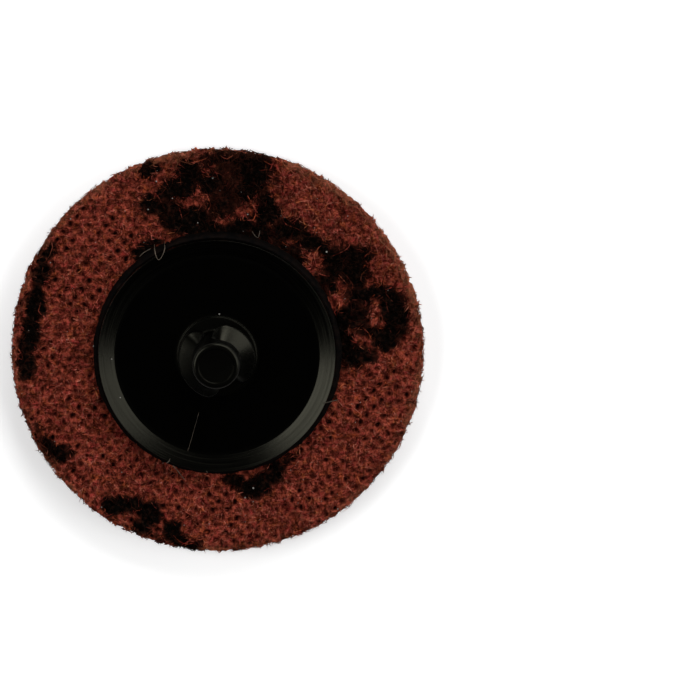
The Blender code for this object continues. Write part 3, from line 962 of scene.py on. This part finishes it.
def hold_in_reach(tree, given, curves, spot):
    """Keeps the fibres inside the die cut, outside the inner radius, and between the two levels."""
    parts = add_node(tree, "ShaderNodeSeparateXYZ", {0: spot}).outputs
    flat = add_node(tree, "ShaderNodeCombineXYZ", {0: parts[0], 1: parts[1]})
    radius = add_node(tree, "ShaderNodeVectorMath", {0: flat}, operation="LENGTH")
    radius = add_node(tree, "ShaderNodeMath", {0: radius, 1: 1.0e-6}, operation="MAXIMUM")
    curves = die_cut(tree, given, curves, spot, radius)
    kept = add_node(tree, "ShaderNodeMath", {0: radius, 1: given["Inner Reach"]}, operation="MAXIMUM")
    share = add_node(tree, "ShaderNodeMath", {0: kept, 1: radius}, operation="DIVIDE")
    flat = add_node(tree, "ShaderNodeVectorMath", {0: flat, "Scale": share}, operation="SCALE")
    flat = add_node(tree, "ShaderNodeSeparateXYZ", {0: flat}).outputs
    level = add_node(
        tree,
        "ShaderNodeClamp",
        {"Value": parts[2], "Min": given["Lowest"], "Max": given["Highest"]},
    )
    reached = add_node(tree, "ShaderNodeCombineXYZ", {0: flat[0], 1: flat[1], 2: level})
    return add_node(tree, "GeometryNodeSetPosition", {"Geometry": curves, "Position": reached})


def thicken_fibres(tree, given, curves):
    """A three-sided tube along each fibre, thinner at both ends."""
    girth = add_node(tree, "GeometryNodeInputNamedAttribute", {"Name": "girth"}, data_type="FLOAT")
    start = add_node(tree, "GeometryNodeSplineParameter").outputs["Factor"]
    end = add_node(tree, "ShaderNodeMath", {0: 1.0, 1: start}, operation="SUBTRACT")
    from_end = add_node(tree, "ShaderNodeMath", {0: start, 1: end}, operation="MINIMUM")
    taper = add_node(
        tree, "ShaderNodeMath", {0: from_end, 1: 4.0, 2: 0.35}, operation="MULTIPLY_ADD", use_clamp=True
    )
    half = add_node(tree, "ShaderNodeMath", {0: given["Width"], 1: 0.5}, operation="MULTIPLY")
    half = add_node(tree, "ShaderNodeMath", {0: half, 1: girth}, operation="MULTIPLY")
    half = add_node(tree, "ShaderNodeMath", {0: half, 1: taper}, operation="MULTIPLY")
    section = add_node(tree, "GeometryNodeCurvePrimitiveCircle", {"Resolution": 3, "Radius": 1.0})
    return add_node(
        tree,
        "GeometryNodeCurveToMesh",
        {"Curve": curves, "Profile Curve": section, "Scale": half, "Fill Caps": True},
    )


def fibre_tree():
    """Geometry nodes that lay curved, crimped fibres on a surface and turn them into a mesh."""
    tree = bpy.data.node_groups.new("laid_fibres", "GeometryNodeTree")
    for name, kind, default in FIBRE_INPUTS:
        socket = tree.interface.new_socket(name, in_out="INPUT", socket_type=kind)
        if default is not None:
            socket.default_value = default
    tree.interface.new_socket("Fibres", in_out="OUTPUT", socket_type="NodeSocketGeometry")
    given = add_node(tree, "NodeGroupInput").outputs
    spot = add_node(tree, "GeometryNodeInputPosition")
    chance = draw_chances(tree, given)
    roots, facing = scatter_roots(tree, given, chance)
    curves = bow_fibres(tree, given, chance, roots, facing)
    curves = crimp_fibres(tree, given, curves, spot)
    curves = hold_in_reach(tree, given, curves, spot)
    tubes = thicken_fibres(tree, given, curves)
    whole = add_node(tree, "GeometryNodeRealizeInstances", {0: tubes})
    dressed = add_node(
        tree, "GeometryNodeSetMaterial", {"Geometry": whole, "Material": given["Material"]}
    )
    add_node(tree, "NodeGroupOutput", {0: dressed})
    return tree


def laid_fibres(name, surface, values):
    """Runs the fibre tree over a surface and returns the fibres as an object with a plain mesh."""
    tree = bpy.data.node_groups.get("laid_fibres") or fibre_tree()
    helper = bpy.data.objects.new(name, surface.data)
    modifier = helper.modifiers.new("laid_fibres", "NODES")
    modifier.node_group = tree
    for item in tree.interface.items_tree:
        if item.name in values:
            modifier[item.identifier] = values[item.name]
    bpy.context.scene.collection.objects.link(helper)
    graph = bpy.context.evaluated_depsgraph_get()
    mesh = bpy.data.meshes.new_from_object(
        helper.evaluated_get(graph), preserve_all_data_layers=True, depsgraph=graph
    )
    helper.modifiers.clear()
    bpy.data.objects.remove(helper)
    if not mesh.polygons:
        raise RuntimeError(f"{name} has no fibres")
    mesh.name = name
    mesh.shade_smooth()
    return object_of(name, mesh)


def tones_of(mesh):
    """The tone of the fibre that each vertex belongs to."""
    layer = mesh.attributes.get("tone")
    if layer is None or layer.domain != "POINT":
        raise RuntimeError("the fibres carry no tone")
    tones = np.empty(len(mesh.vertices), dtype=np.float32)
    layer.data.foreach_get("value", tones)
    return tones.astype(float)


def clear_holes(mesh, hole):
    """Takes out most of the fibres that cross a hole, so that the weave shows."""
    tones = tones_of(mesh)
    fibre = np.concatenate(([0], np.cumsum(np.diff(tones) != 0.0)))
    deepest = np.zeros(fibre[-1] + 1)
    np.maximum.at(deepest, fibre, hole)
    # Six in ten of the fibres that cross a hole go, picked by their tone.
    crossing = (deepest > 0.5)[fibre] & (np.modf(tones * 7.0)[0] > 0.4)
    shape = bmesh.new()
    shape.from_mesh(mesh)
    shape.verts.ensure_lookup_table()
    gone = [shape.verts[i] for i in np.flatnonzero(crossing)]
    bmesh.ops.delete(shape, geom=gone, context="VERTS")
    shape.to_mesh(mesh)
    shape.free()


def holes_near(points, felt):
    """How far each point of the felt's fibres is over a hole of the weave, and the way out of it."""
    _, hole, out = weave_at(points, felt)
    inside = np.hypot(points[:, 0], points[:, 1]) < DISC_RADIUS - 0.5 * MM
    return hole * inside * (points[:, 2] > FELT_LEVEL - 0.7 * MM), out


def settle_fibres(mesh, felt):
    """Draws the felt's fibres onto the yarns and down into the holes, and notes what colours them."""
    hole, _ = holes_near(vertex_array(mesh), felt)
    clear_holes(mesh, hole)
    points = vertex_array(mesh)
    hole, out = holes_near(points, felt)
    # Painted shade: fibres over a hole and lower in the felt are darkened
    depth = (FELT_LEVEL + 0.02 * MM - points[:, 2]) / (0.5 * MM)
    inside = np.hypot(points[:, 0], points[:, 1]) < DISC_RADIUS - 0.5 * MM
    store(mesh, "stain", stain_at(points, 0.06 * (0.5 - tones_of(mesh))))
    store(mesh, "hollow", np.clip(0.9 * hole + 0.75 * smooth_step(depth) * inside, 0.0, 1.0))
    store(mesh, "dusty", dust_and_edge_light_at(points))
    points[:, :2] += 0.2 * MM * hole[:, None] * out
    points[:, 2] -= 0.6 * felt.hole_depth * hole
    move_vertices(mesh, points)


def web_shell(web):
    """The web's core as one closed shell: a ragged wall and a porous working face."""
    outer = WEB_HIGH.x
    rings = [ring_points(share * outer, WEB_LEVEL, WEB_STEPS) for share in (0.5, 0.98)]
    for share in np.linspace(1.0, 0.0, 17):
        inset = 0.25 * MM + 0.5 * MM * (1.0 - share) ** 1.5
        rings.append(ring_points(outer - inset, share * WEB_LEVEL, WEB_STEPS))
    radii = np.linspace(outer - 1.0 * MM, 2.0 * MM, 50)
    rings += [ring_points(radius, 0.0, WEB_STEPS) for radius in radii]
    shell = shell_of_rings("web_core", rings)
    mesh = shell.data
    points = vertex_array(mesh)
    radius = np.hypot(points[:, 0], points[:, 1])
    cells = points / web.pore_size
    gaps = np.array([(d[1] - d[0]) for d, _ in (noise.voronoi(p) for p in cells.tolist())])
    pore = smooth_step((gaps - 0.1) / 0.4)
    rough = roughness_at(points, 0.8 * MM, 6.0)
    below = smooth_step((0.25 * MM - points[:, 2]) / (0.25 * MM))
    under_scrim = points[:, 2] < WEB_LEVEL - 0.1 * MM
    side = smooth_step((radius / outer - 0.93) / 0.05) * (1.0 - below) * under_scrim
    inward = 1.0 - side * (0.45 * MM * pore + 0.15 * MM * (1.0 + rough)) / DISC_RADIUS
    points[:, :2] *= inward[:, None]
    points[:, 2] += below * (0.25 * MM + web.pore_depth * pore + 0.12 * MM * (1.0 + rough))
    move_vertices(mesh, points)
    face = (points[:, 2] < 1.6 * MM) & (radius < outer - 0.7 * MM)
    wall = (radius > outer - 1.6 * MM) & (points[:, 2] < WEB_LEVEL - 0.2 * MM)
    store(mesh, "face", face.astype(float))
    store(mesh, "wall", wall.astype(float))
    return shell


def rounded_outline(corners, arc_points):
    """(radius, height) points of an outline whose corners (radius, height, round) become arcs."""
    outline = []
    for i, (radius, height, fillet) in enumerate(corners):
        here = Vector((radius, height))
        if fillet <= 0.0:
            outline.append(here)
            continue
        to_last = (Vector(corners[i - 1][:2]) - here).normalized()
        to_next = (Vector(corners[i + 1][:2]) - here).normalized()
        half = to_last.angle(to_next) / 2.0
        centre = here + (to_last + to_next).normalized() * fillet / math.sin(half)
        first = here + to_last * fillet / math.tan(half) - centre
        last = here + to_next * fillet / math.tan(half) - centre
        sweep = first.angle_signed(last)
        for k in range(arc_points):
            outline.append(centre + Matrix.Rotation(-sweep * k / (arc_points - 1), 2) @ first)
    return outline


def turned_shape(outline, steps):
    """A body of revolution round Z from (radius, height) points that start and end on the axis."""
    shape = bmesh.new()
    verts = [shape.verts.new((p.x, 0.0, p.y)) for p in outline]
    edges = [shape.edges.new(pair) for pair in zip(verts, verts[1:])]
    bmesh.ops.spin(
        shape,
        geom=verts + edges,
        axis=(0.0, 0.0, 1.0),
        cent=(0.0, 0.0, 0.0),
        angle=math.tau,
        steps=steps,
        use_merge=True,
    )
    bmesh.ops.remove_doubles(shape, verts=shape.verts, dist=MERGE)
    bmesh.ops.recalc_face_normals(shape, faces=shape.faces)
    return shape


def thread_ridge(button, start, core_radius, top):
    """One start of the coarse right-hand thread, run out at both ends, as a bmesh."""
    steps = 60
    crest_round = 0.2 * MM
    root_half = 0.5 * button.thread_root
    crest_half = 0.5 * button.thread_crest
    hidden = core_radius - 0.17 * MM
    sunk = core_radius - 0.55 * MM
    flank = (root_half - crest_half) / (button.thread_radius - core_radius)
    sunk_half = root_half + flank * (core_radius - sunk)
    shape = bmesh.new()
    sections = []
    for k in range(steps + 1):
        turn = THREAD_TURN * k / steps
        from_end = min(turn, THREAD_TURN - turn)
        growth = math.sin(0.5 * math.pi * min(1.0, from_end / THREAD_RUN_OUT))
        angle = THREAD_START + math.pi * start - turn
        height = top - button.thread_lead * turn / math.tau
        crest = hidden + crest_round * growth
        crest += (button.thread_radius - crest) * growth
        spread = 0.2 + 0.8 * growth
        outline = [(sunk, -sunk_half)]
        for side in (-1.0, 1.0):
            arc = []
            for a in np.radians((15.0, 35.0, 60.0, 90.0)):
                r = crest - crest_round * (1.0 - math.sin(a))
                arc.append((r, side * (crest_half + crest_round * math.cos(a))))
            outline += arc if side < 0.0 else arc[::-1]
        outline.append((sunk, sunk_half))
        sections.append(
            [
                shape.verts.new((r * math.cos(angle), r * math.sin(angle), height + spread * z))
                for r, z in outline
            ]
        )
    for near, far in zip(sections, sections[1:]):
        for k in range(len(near)):
            n = (k + 1) % len(near)
            shape.faces.new((near[k], near[n], far[n], far[k]))
    shape.faces.new(sections[0])
    shape.faces.new(sections[-1])
    bmesh.ops.recalc_face_normals(shape, faces=shape.faces)
    return shape


def mesh_object(name, shape):
    """An object of a bmesh, which is freed."""
    mesh = bpy.data.meshes.new(name)
    shape.to_mesh(mesh)
    shape.free()
    return object_of(name, mesh)


def moulded_button(button):
    """The button's moulding: dished flange, boss, stud with its hollow tip, and the joined thread."""
    base = BUTTON_LOW.z
    floor = base + button.floor_height
    rim = floor + button.rim_rise
    boss = floor + button.boss_height
    tip = BUTTON_HIGH.z
    crest_radius = FLANGE_RADIUS - button.draft
    root, end = button.stud_radius + 0.1 * MM, button.stud_radius - 0.1 * MM
    # Underside, flange, rim, slope, dished floor, boss, stud and hollow tip: radius, height and round
    outline = rounded_outline(
        [
            (0.0, base, 0.0),
            (FLANGE_RADIUS, base, 0.15 * MM),
            (crest_radius, rim, 0.045 * MM),
            (crest_radius - button.rim_slope, floor, 0.3 * MM),
            (button.boss_radius, floor, 0.06 * MM),
            (button.boss_radius - 0.04 * MM, boss, 0.08 * MM),
            (root, boss, 0.4 * MM),
            (end, tip, 0.45 * MM),
            (2.15 * MM, tip, 0.03 * MM),
            (2.05 * MM, tip - 0.1 * MM, 0.03 * MM),
            (0.9 * MM, tip - 0.13 * MM, 0.4 * MM),
            (0.0, tip - 0.13 * MM, 0.0),
        ],
        8,
    )
    body = mesh_object("moulded_button", turned_shape(outline, BUTTON_STEPS))
    # The ridges start 1.15 mm under the tip.
    top = tip - 1.15 * MM - 0.5 * button.thread_root
    ridges = []
    for start in (0, 1):
        ridge = mesh_object(f"thread_ridge_{start + 1}", thread_ridge(button, start, end, top))
        joint = body.modifiers.new(ridge.name, "BOOLEAN")
        joint.operation = "UNION"
        joint.solver = "EXACT"
        joint.object = ridge
        ridges.append(ridge)
    graph = bpy.context.evaluated_depsgraph_get()
    mesh = bpy.data.meshes.new_from_object(body.evaluated_get(graph), depsgraph=graph)
    for helper in (body, *ridges):
        bpy.data.objects.remove(helper)
    mesh.name = "moulded_button"
    mesh.shade_smooth()
    mesh.set_sharp_from_angle(angle=math.radians(40.0))
    return object_of("moulded_button", mesh)


def glue_bead(button):
    """The glue under the flange and its uneven bead, which is wider towards -Y and higher towards +Y."""
    inner = FLANGE_RADIUS + 0.02 * MM
    angle = np.arange(GLUE_STEPS) * math.tau / GLUE_STEPS
    circle = ring_points(FLANGE_RADIUS, 0.0, GLUE_STEPS)
    uneven = 1.0 + 0.35 * roughness_at(circle, 2.2 * MM, 3.0) + 0.2 * roughness_at(circle, 0.7 * MM, 12.0)
    width = (button.bead_width - 0.14 * MM * np.sin(angle)) * uneven + 0.1 * MM
    climb = 0.35 + 0.75 * smooth_step(0.5 + 0.9 * np.sin(angle - 0.2)) * uneven
    top = BUTTON_LOW.z + climb * MM
    rings = [ring_points(inner - 1.0 * MM, BUTTON_LOW.z - 0.05 * MM, GLUE_STEPS)]
    rings.append(ring_points(inner - 0.3 * MM, top - 0.1 * MM, GLUE_STEPS))
    for a in np.radians((80.0, 60.0, 40.0, 20.0, 0.0)):
        height = GLUE_LOW.z + (top - GLUE_LOW.z) * math.sin(a)
        rings.append(ring_points(inner + width * math.cos(a), height, GLUE_STEPS))
    for radius in (inner, inner - 1.0 * MM):
        rings.append(ring_points(radius, GLUE_LOW.z - 0.3 * MM, GLUE_STEPS))
    return shell_of_rings("glue_bead", rings)


def smooth_path(points, steps=8):
    """Points in metres along a smooth curve through points in millimetres."""
    path = [Vector(p) * MM for p in points]
    dense = []
    for i in range(len(path) - 1):
        before, after = path[max(i - 1, 0)], path[min(i + 2, len(path) - 1)]
        a, b = path[i], path[i + 1]
        for k in range(steps):
            t = k / steps
            straight = 2.0 * a + (b - before) * t
            bend = (2.0 * before - 5.0 * a + 4.0 * b - after) * t * t
            twist = (3.0 * a - before - 3.0 * b + after) * t * t * t
            dense.append(0.5 * (straight + bend + twist))
    dense.append(path[-1])
    return dense


def tube(shape, points, radius, sides=6):
    """Adds a closed tube, thinner at its ends, along points that a smooth curve joins."""
    path = smooth_path(points)
    rings = []
    across = None
    for i, here in enumerate(path):
        ahead = (path[min(i + 1, len(path) - 1)] - path[max(i - 1, 0)]).normalized()
        if across is None:
            across = ahead.orthogonal().normalized()
        else:
            across = (across - ahead * across.dot(ahead)).normalized()
        up = ahead.cross(across)
        share = i / (len(path) - 1)
        thin = radius * min(1.0, 0.3 + 5.0 * min(share, 1.0 - share))
        ring = []
        for k in range(sides):
            turn = math.tau * k / sides
            ring.append(shape.verts.new(here + thin * (across * math.cos(turn) + up * math.sin(turn))))
        rings.append(ring)
    for low, high in zip(rings, rings[1:]):
        for k in range(sides):
            n = (k + 1) % sides
            shape.faces.new((low[k], low[n], high[n], high[k]))
    shape.faces.new(rings[0][::-1])
    shape.faces.new(rings[-1])


# A fibre that loops up over the rim of the button, as points in millimetres
RIM_LOOP = (
    (-7.5, 13.4, 4.3),
    (-7.4, 13.1, 6.3),
    (-7.2, 12.3, 6.5),
    (-6.9, 11.9, 6.3),
    (-6.5, 12.4, 6.5),
    (-6.2, 13.2, 6.2),
    (-6.3, 13.7, 4.3),
)

# Loose fibre on the disc: half width, and points, in millimetres
STRAYS = (
    (0.05, RIM_LOOP),
    (0.02, ((-2.2, -7.0, 5.72), (-2.6, -8.4, 5.7), (-3.1, -10.2, 5.74), (-3.6, -11.9, 5.74))),
    (0.05, ((-5.4, -13.5, 6.3), (-4.8, -14.3, 6.0), (-4.3, -15.3, 4.9), (-3.9, -15.9, 4.3))),
    (0.045, ((-6.2, -13.2, 6.45), (-5.9, -13.0, 6.5), (-5.7, -12.6, 6.2))),
    (0.045, ((-2.0, -13.3, 5.8), (-1.6, -13.8, 6.1), (-1.2, -14.4, 6.5))),
    (0.05, ((12.0, -6.6, 5.9), (12.6, -5.9, 6.2), (13.4, -5.6, 6.55), (14.6, -5.6, 5.2))),
    (0.035, ((4.2, 15.1, 4.4), (4.6, 14.6, 5.0), (5.0, 14.3, 4.6), (5.2, 15.1, 4.3))),
    (0.05, ((-9.3, 11.9, 4.5), (-8.7, 12.5, 4.8), (-7.9, 12.9, 4.5))),
)

# The larger specks of dust: x, y, z and radius in millimetres
SPECKS = (
    (-0.4, 21.5, 4.45, 0.17),
    (-7.2, 21.1, 4.4, 0.14),
    (0.3, 5.1, 5.72, 0.13),
    (-12.7, -0.4, 6.0, 0.11),
    (-11.7, -5.2, 5.85, 0.11),
    (-14.9, 0.9, 4.6, 0.14),
    (13.2, 12.5, 4.5, 0.15),
    (4.3, -16.8, 4.5, 0.17),
    (3.3, -18.0, 4.45, 0.14),
)


def fine_specks(count):
    """Fine grains scattered over the felt, as x, y, z and radius in millimetres."""
    chance = random.Random(5)
    inner, outer = FLANGE_RADIUS / MM + 0.7, DISC_RADIUS / MM - 0.7
    for _ in range(count):
        radius = math.sqrt(chance.uniform(inner**2, outer**2))
        angle = chance.uniform(0.0, math.tau)
        size = 0.05 + 0.06 * chance.random() ** 2
        yield radius * math.cos(angle), radius * math.sin(angle), chance.uniform(4.3, 4.45), size


def speck(shape, x, y, z, radius, seed):
    """Adds one small uneven grain."""
    made = bmesh.ops.create_icosphere(
        shape, subdivisions=1, radius=radius * MM, matrix=Matrix.Translation(Vector((x, y, z)) * MM)
    )
    middle = Vector((x, y, z)) * MM
    for vert in made["verts"]:
        away = vert.co - middle
        spot = away / (radius * MM) * 1.3 + Vector((seed, 0, 0))
        vert.co = middle + away * (1.0 + 0.45 * noise.noise(spot))


# How the felt's fibres lie, and how the looser layers differ
FELT_LIE = {
    "Bend": 0.85,
    "Crimp": 0.5 * MM,
    "Crimp Length": 1.1 * MM,
    "Inner Reach": FLANGE_RADIUS + 0.1 * MM,
    "Outer Reach": DISC_RADIUS - 0.05 * MM,
    "Stray": 1.1 * MM,
    "Lowest": WEB_LEVEL,
    "Highest": FELT_LEVEL + 0.5 * MM,
}
LOOSE_LIE = {
    "curled_fibres": {"Bend": 1.5, "Crimp": 1.1 * MM},
    "edge_tufts": {"Outer Reach": DISC_RADIUS + 0.45 * MM},
}

# The felt's layers: name, the attribute that spreads them, the density setting and its share, length and
# width as shares of the settings, tilt, sink and lift in millimetres, pieces in a fibre, and seed
FELT_LAYERS = (
    ("felt_fibres_low", "cover", "fibres_per_mm2", 0.35, 1.0, 1.15, 0.08, 0.1, 0.0, 2, 11),
    ("felt_fibres_middle", "cover", "fibres_per_mm2", 0.35, 1.0, 1.0, 0.1, 0.04, 0.04, 3, 17),
    ("felt_fibres_high", "cover", "fibres_per_mm2", 0.3, 1.15, 0.95, 0.12, 0.0, 0.08, 3, 23),
    ("curled_fibres", "curls", "curls_per_mm2", 1.0, 2.3, 0.85, 0.15, 0.0, 0.2, 7, 29),
    ("edge_tufts", "fringe", "tufts_per_mm2", 1.0, 0.65, 1.2, 1.2, 0.05, 0.15, 2, 37),
)

# How the web's fibres lie
WEB_LIE = {
    "Bend": 0.8,
    "Crimp": 1.5 * MM,
    "Crimp Length": 1.8 * MM,
    "Outer Reach": WEB_HIGH.x - 0.3 * MM,
    "Stray": 0.9 * MM,
    "Highest": WEB_LEVEL,
    "Points": 5,
}

# The web's layers: name, the attribute that spreads them, share of the density, length as a share of the
# setting, tilt, sink and lift in millimetres, inner reach, and seed
WEB_LAYERS = (
    ("web_face_fibres", "face", 1.0, 1.0, 0.25, 0.3, 0.25, 0.0, 51),
    ("web_wall_fibres", "wall", 1.9, 0.75, 0.35, 0.2, 0.2, WEB_HIGH.x - 2.5 * MM, 67),
)


# Studio


def lay_floor(stage):
    """A wide plain floor, a hair under the disc."""
    shape = bmesh.new()
    sunk = Matrix.Translation((0.0, 0.0, -0.02 * MM))
    bmesh.ops.create_grid(shape, x_segments=8, y_segments=8, size=3.0, matrix=sunk)
    floor = mesh_object("floor", shape)
    floor.data.materials.append(floor_material(stage))


def hang_lamps(stage):
    """The soft lamps, each turned to the middle of the felt."""
    middle = Vector((0.0, 0.0, FELT_LEVEL))
    for name, heading, height, width, tall, watts in LAMPS:
        lamp = bpy.data.lights.new(name, "AREA")
        lamp.energy = watts
        lamp.shape = "RECTANGLE"
        lamp.size = width
        lamp.size_y = tall
        lit = object_of(name, lamp)
        way = Vector((math.cos(math.radians(height)), 0.0, math.sin(math.radians(height))))
        way.rotate(Matrix.Rotation(math.radians(heading), 3, "Z"))
        lit.location = middle + way * stage.lamp_distance
        lit.rotation_euler = way.to_track_quat("Z", "Y").to_euler()


def dim_room(stage):
    """A room with a little even light."""
    room = bpy.data.worlds.new("dim_room")
    room.use_nodes = True
    room.node_tree.nodes["Background"].inputs["Color"].default_value = rgba(stage.room)
    return room


def aimed_camera(stage):
    """The camera, almost straight above the disc and leaning towards it from +Y."""
    camera = object_of("camera", bpy.data.cameras.new("camera"))
    camera.data.lens = stage.lens_mm
    camera.data.clip_start = 0.01
    camera.data.clip_end = 20.0
    back = Vector((0.0, math.sin(stage.tilt), math.cos(stage.tilt)))
    up = Vector((0.0, math.cos(stage.tilt), -math.sin(stage.tilt)))
    right = up.cross(back)
    camera.rotation_euler = Matrix((right, up, back)).transposed().to_euler()
    camera.location = Vector((stage.aim_x, stage.aim_y, FELT_LEVEL)) + back * stage.distance
    return camera


# Operators


class DISC_OT_make_backing(bpy.types.Operator):
    """Makes the felted scrim, with its holes and stains"""

    bl_idname = "disc.make_backing"
    bl_label = "Felted Scrim"

    def execute(self, context):
        felt = context.scene.disc_felt
        finish(backing_shell(felt), felt_ground_material(felt), "rust_felted_scrim", "scrim_backing")
        return {"FINISHED"}


class DISC_OT_lay_felt(bpy.types.Operator):
    """Lays the crimped fibres of the felt, and the loose ends at the die-cut edge"""

    bl_idname = "disc.lay_felt"
    bl_label = "Felt Fibres"

    def execute(self, context):
        felt = context.scene.disc_felt
        surface = bpy.data.objects["felted_scrim"]
        material = felt_fibre_material(felt)
        for name, where, per_mm2, share, stretch, girth, tilt, sink, lift, points, seed in FELT_LAYERS:
            values = {
                **FELT_LIE,
                **LOOSE_LIE.get(name, {}),
                "Where": where,
                "Fibres per Area": getattr(felt, per_mm2) * share / MM**2,
                "Length": felt.fibre_length * stretch,
                "Width": felt.fibre_width * girth,
                "Tilt": tilt,
                "Sink": sink * MM,
                "Lift": lift * MM,
                "Points": points,
                "Seed": seed,
                "Material": material,
            }
            fibres = laid_fibres(name, surface, values)
            settle_fibres(fibres.data, felt)
            finish(fibres, material, "rust_felted_scrim")
        return {"FINISHED"}


class DISC_OT_make_web(bpy.types.Operator):
    """Makes the abrasive web: its porous core and the coated fibres on its face and its wall"""

    bl_idname = "disc.make_web"
    bl_label = "Abrasive Web"

    def execute(self, context):
        web = context.scene.disc_web
        core = web_shell(web)
        finish(core, web_core_material(web), "maroon_abrasive_nylon", "abrasive_web")
        material = web_fibre_material(web)
        for name, where, share, stretch, tilt, sink, lift, inner, seed in WEB_LAYERS:
            values = {
                **WEB_LIE,
                "Where": where,
                "Fibres per Area": web.fibres_per_mm2 * share / MM**2,
                "Length": web.fibre_length * stretch,
                "Width": web.fibre_width,
                "Tilt": tilt,
                "Sink": sink * MM,
                "Lift": lift * MM,
                "Inner Reach": inner,
                "Lowest": 0.5 * web.fibre_width,
                "Seed": seed,
                "Material": material,
            }
            fibres = laid_fibres(name, core, values)
            finish(fibres, material, "maroon_abrasive_nylon")
        return {"FINISHED"}


class DISC_OT_make_button(bpy.types.Operator):
    """Makes the moulded button with its thread, and the glue round its flange"""

    bl_idname = "disc.make_button"
    bl_label = "Mounting Button"

    def execute(self, context):
        button = context.scene.disc_button
        finish(moulded_button(button), button_material(button), "black_moulded_nylon", "mounting_button")
        finish(glue_bead(button), glue_material(button), "black_hot_melt", "glue_layer")
        return {"FINISHED"}


class DISC_OT_add_lint(bpy.types.Operator):
    """Adds the few loose fibres and specks of dust that lie on the disc"""

    bl_idname = "disc.add_lint"
    bl_label = "Loose Fibres and Dust"

    def execute(self, context):
        shape = bmesh.new()
        for half_width, points in STRAYS:
            tube(shape, points, half_width * MM)
        fibres = mesh_object("stray_fibres", shape)
        fibres.data.shade_smooth()
        finish(fibres, loose_fibre_material(), "rust_felted_scrim")
        shape = bmesh.new()
        for seed, (x, y, z, radius) in enumerate((*SPECKS, *fine_specks(70))):
            speck(shape, x, y, z, 0.75 * radius, seed)
        dust = mesh_object("dust_specks", shape)
        finish(dust, dust_material(), "rust_felted_scrim")
        return {"FINISHED"}


class DISC_OT_set_stage(bpy.types.Operator):
    """Sets the floor, the soft lamps, the dim room and the camera"""

    bl_idname = "disc.set_stage"
    bl_label = "Studio"

    def execute(self, context):
        stage = context.scene.disc_stage
        lay_floor(stage)
        hang_lamps(stage)
        context.scene.world = dim_room(stage)
        context.scene.camera = aimed_camera(stage)
        context.scene.view_settings.view_transform = "Standard"
        return {"FINISHED"}


OPERATORS = (
    DISC_OT_make_backing,
    DISC_OT_lay_felt,
    DISC_OT_make_web,
    DISC_OT_make_button,
    DISC_OT_add_lint,
    DISC_OT_set_stage,
)


class DISC_PT_panel(bpy.types.Panel):
    """Lists the disc's steps and their sizes"""

    bl_idname = "DISC_PT_panel"
    bl_label = "Surface Conditioning Disc"
    bl_space_type = "VIEW_3D"
    bl_region_type = "UI"
    bl_category = "Disc"

    def draw(self, context):
        for operator in OPERATORS:
            self.layout.operator(operator.bl_idname)
        for name, group in SETTINGS:
            box = self.layout.box()
            for key in group.__annotations__:
                box.prop(getattr(context.scene, name), key)


def register():
    """Adds the settings, the operators and the panel."""
    for name, group in SETTINGS:
        bpy.utils.register_class(group)
        setattr(bpy.types.Scene, name, PointerProperty(type=group))
    for shown in (*OPERATORS, DISC_PT_panel):
        bpy.utils.register_class(shown)


def unregister():
    """Takes them out again."""
    for shown in reversed((*OPERATORS, DISC_PT_panel)):
        bpy.utils.unregister_class(shown)
    for name, group in reversed(SETTINGS):
        delattr(bpy.types.Scene, name)
        bpy.utils.unregister_class(group)


def main():
    """Builds the disc step by step."""
    register()
    for step in (
        bpy.ops.disc.make_backing,
        bpy.ops.disc.lay_felt,
        bpy.ops.disc.make_web,
        bpy.ops.disc.make_button,
        bpy.ops.disc.add_lint,
        bpy.ops.disc.set_stage,
    ):
        step()


if __name__ == "__main__":
    main()
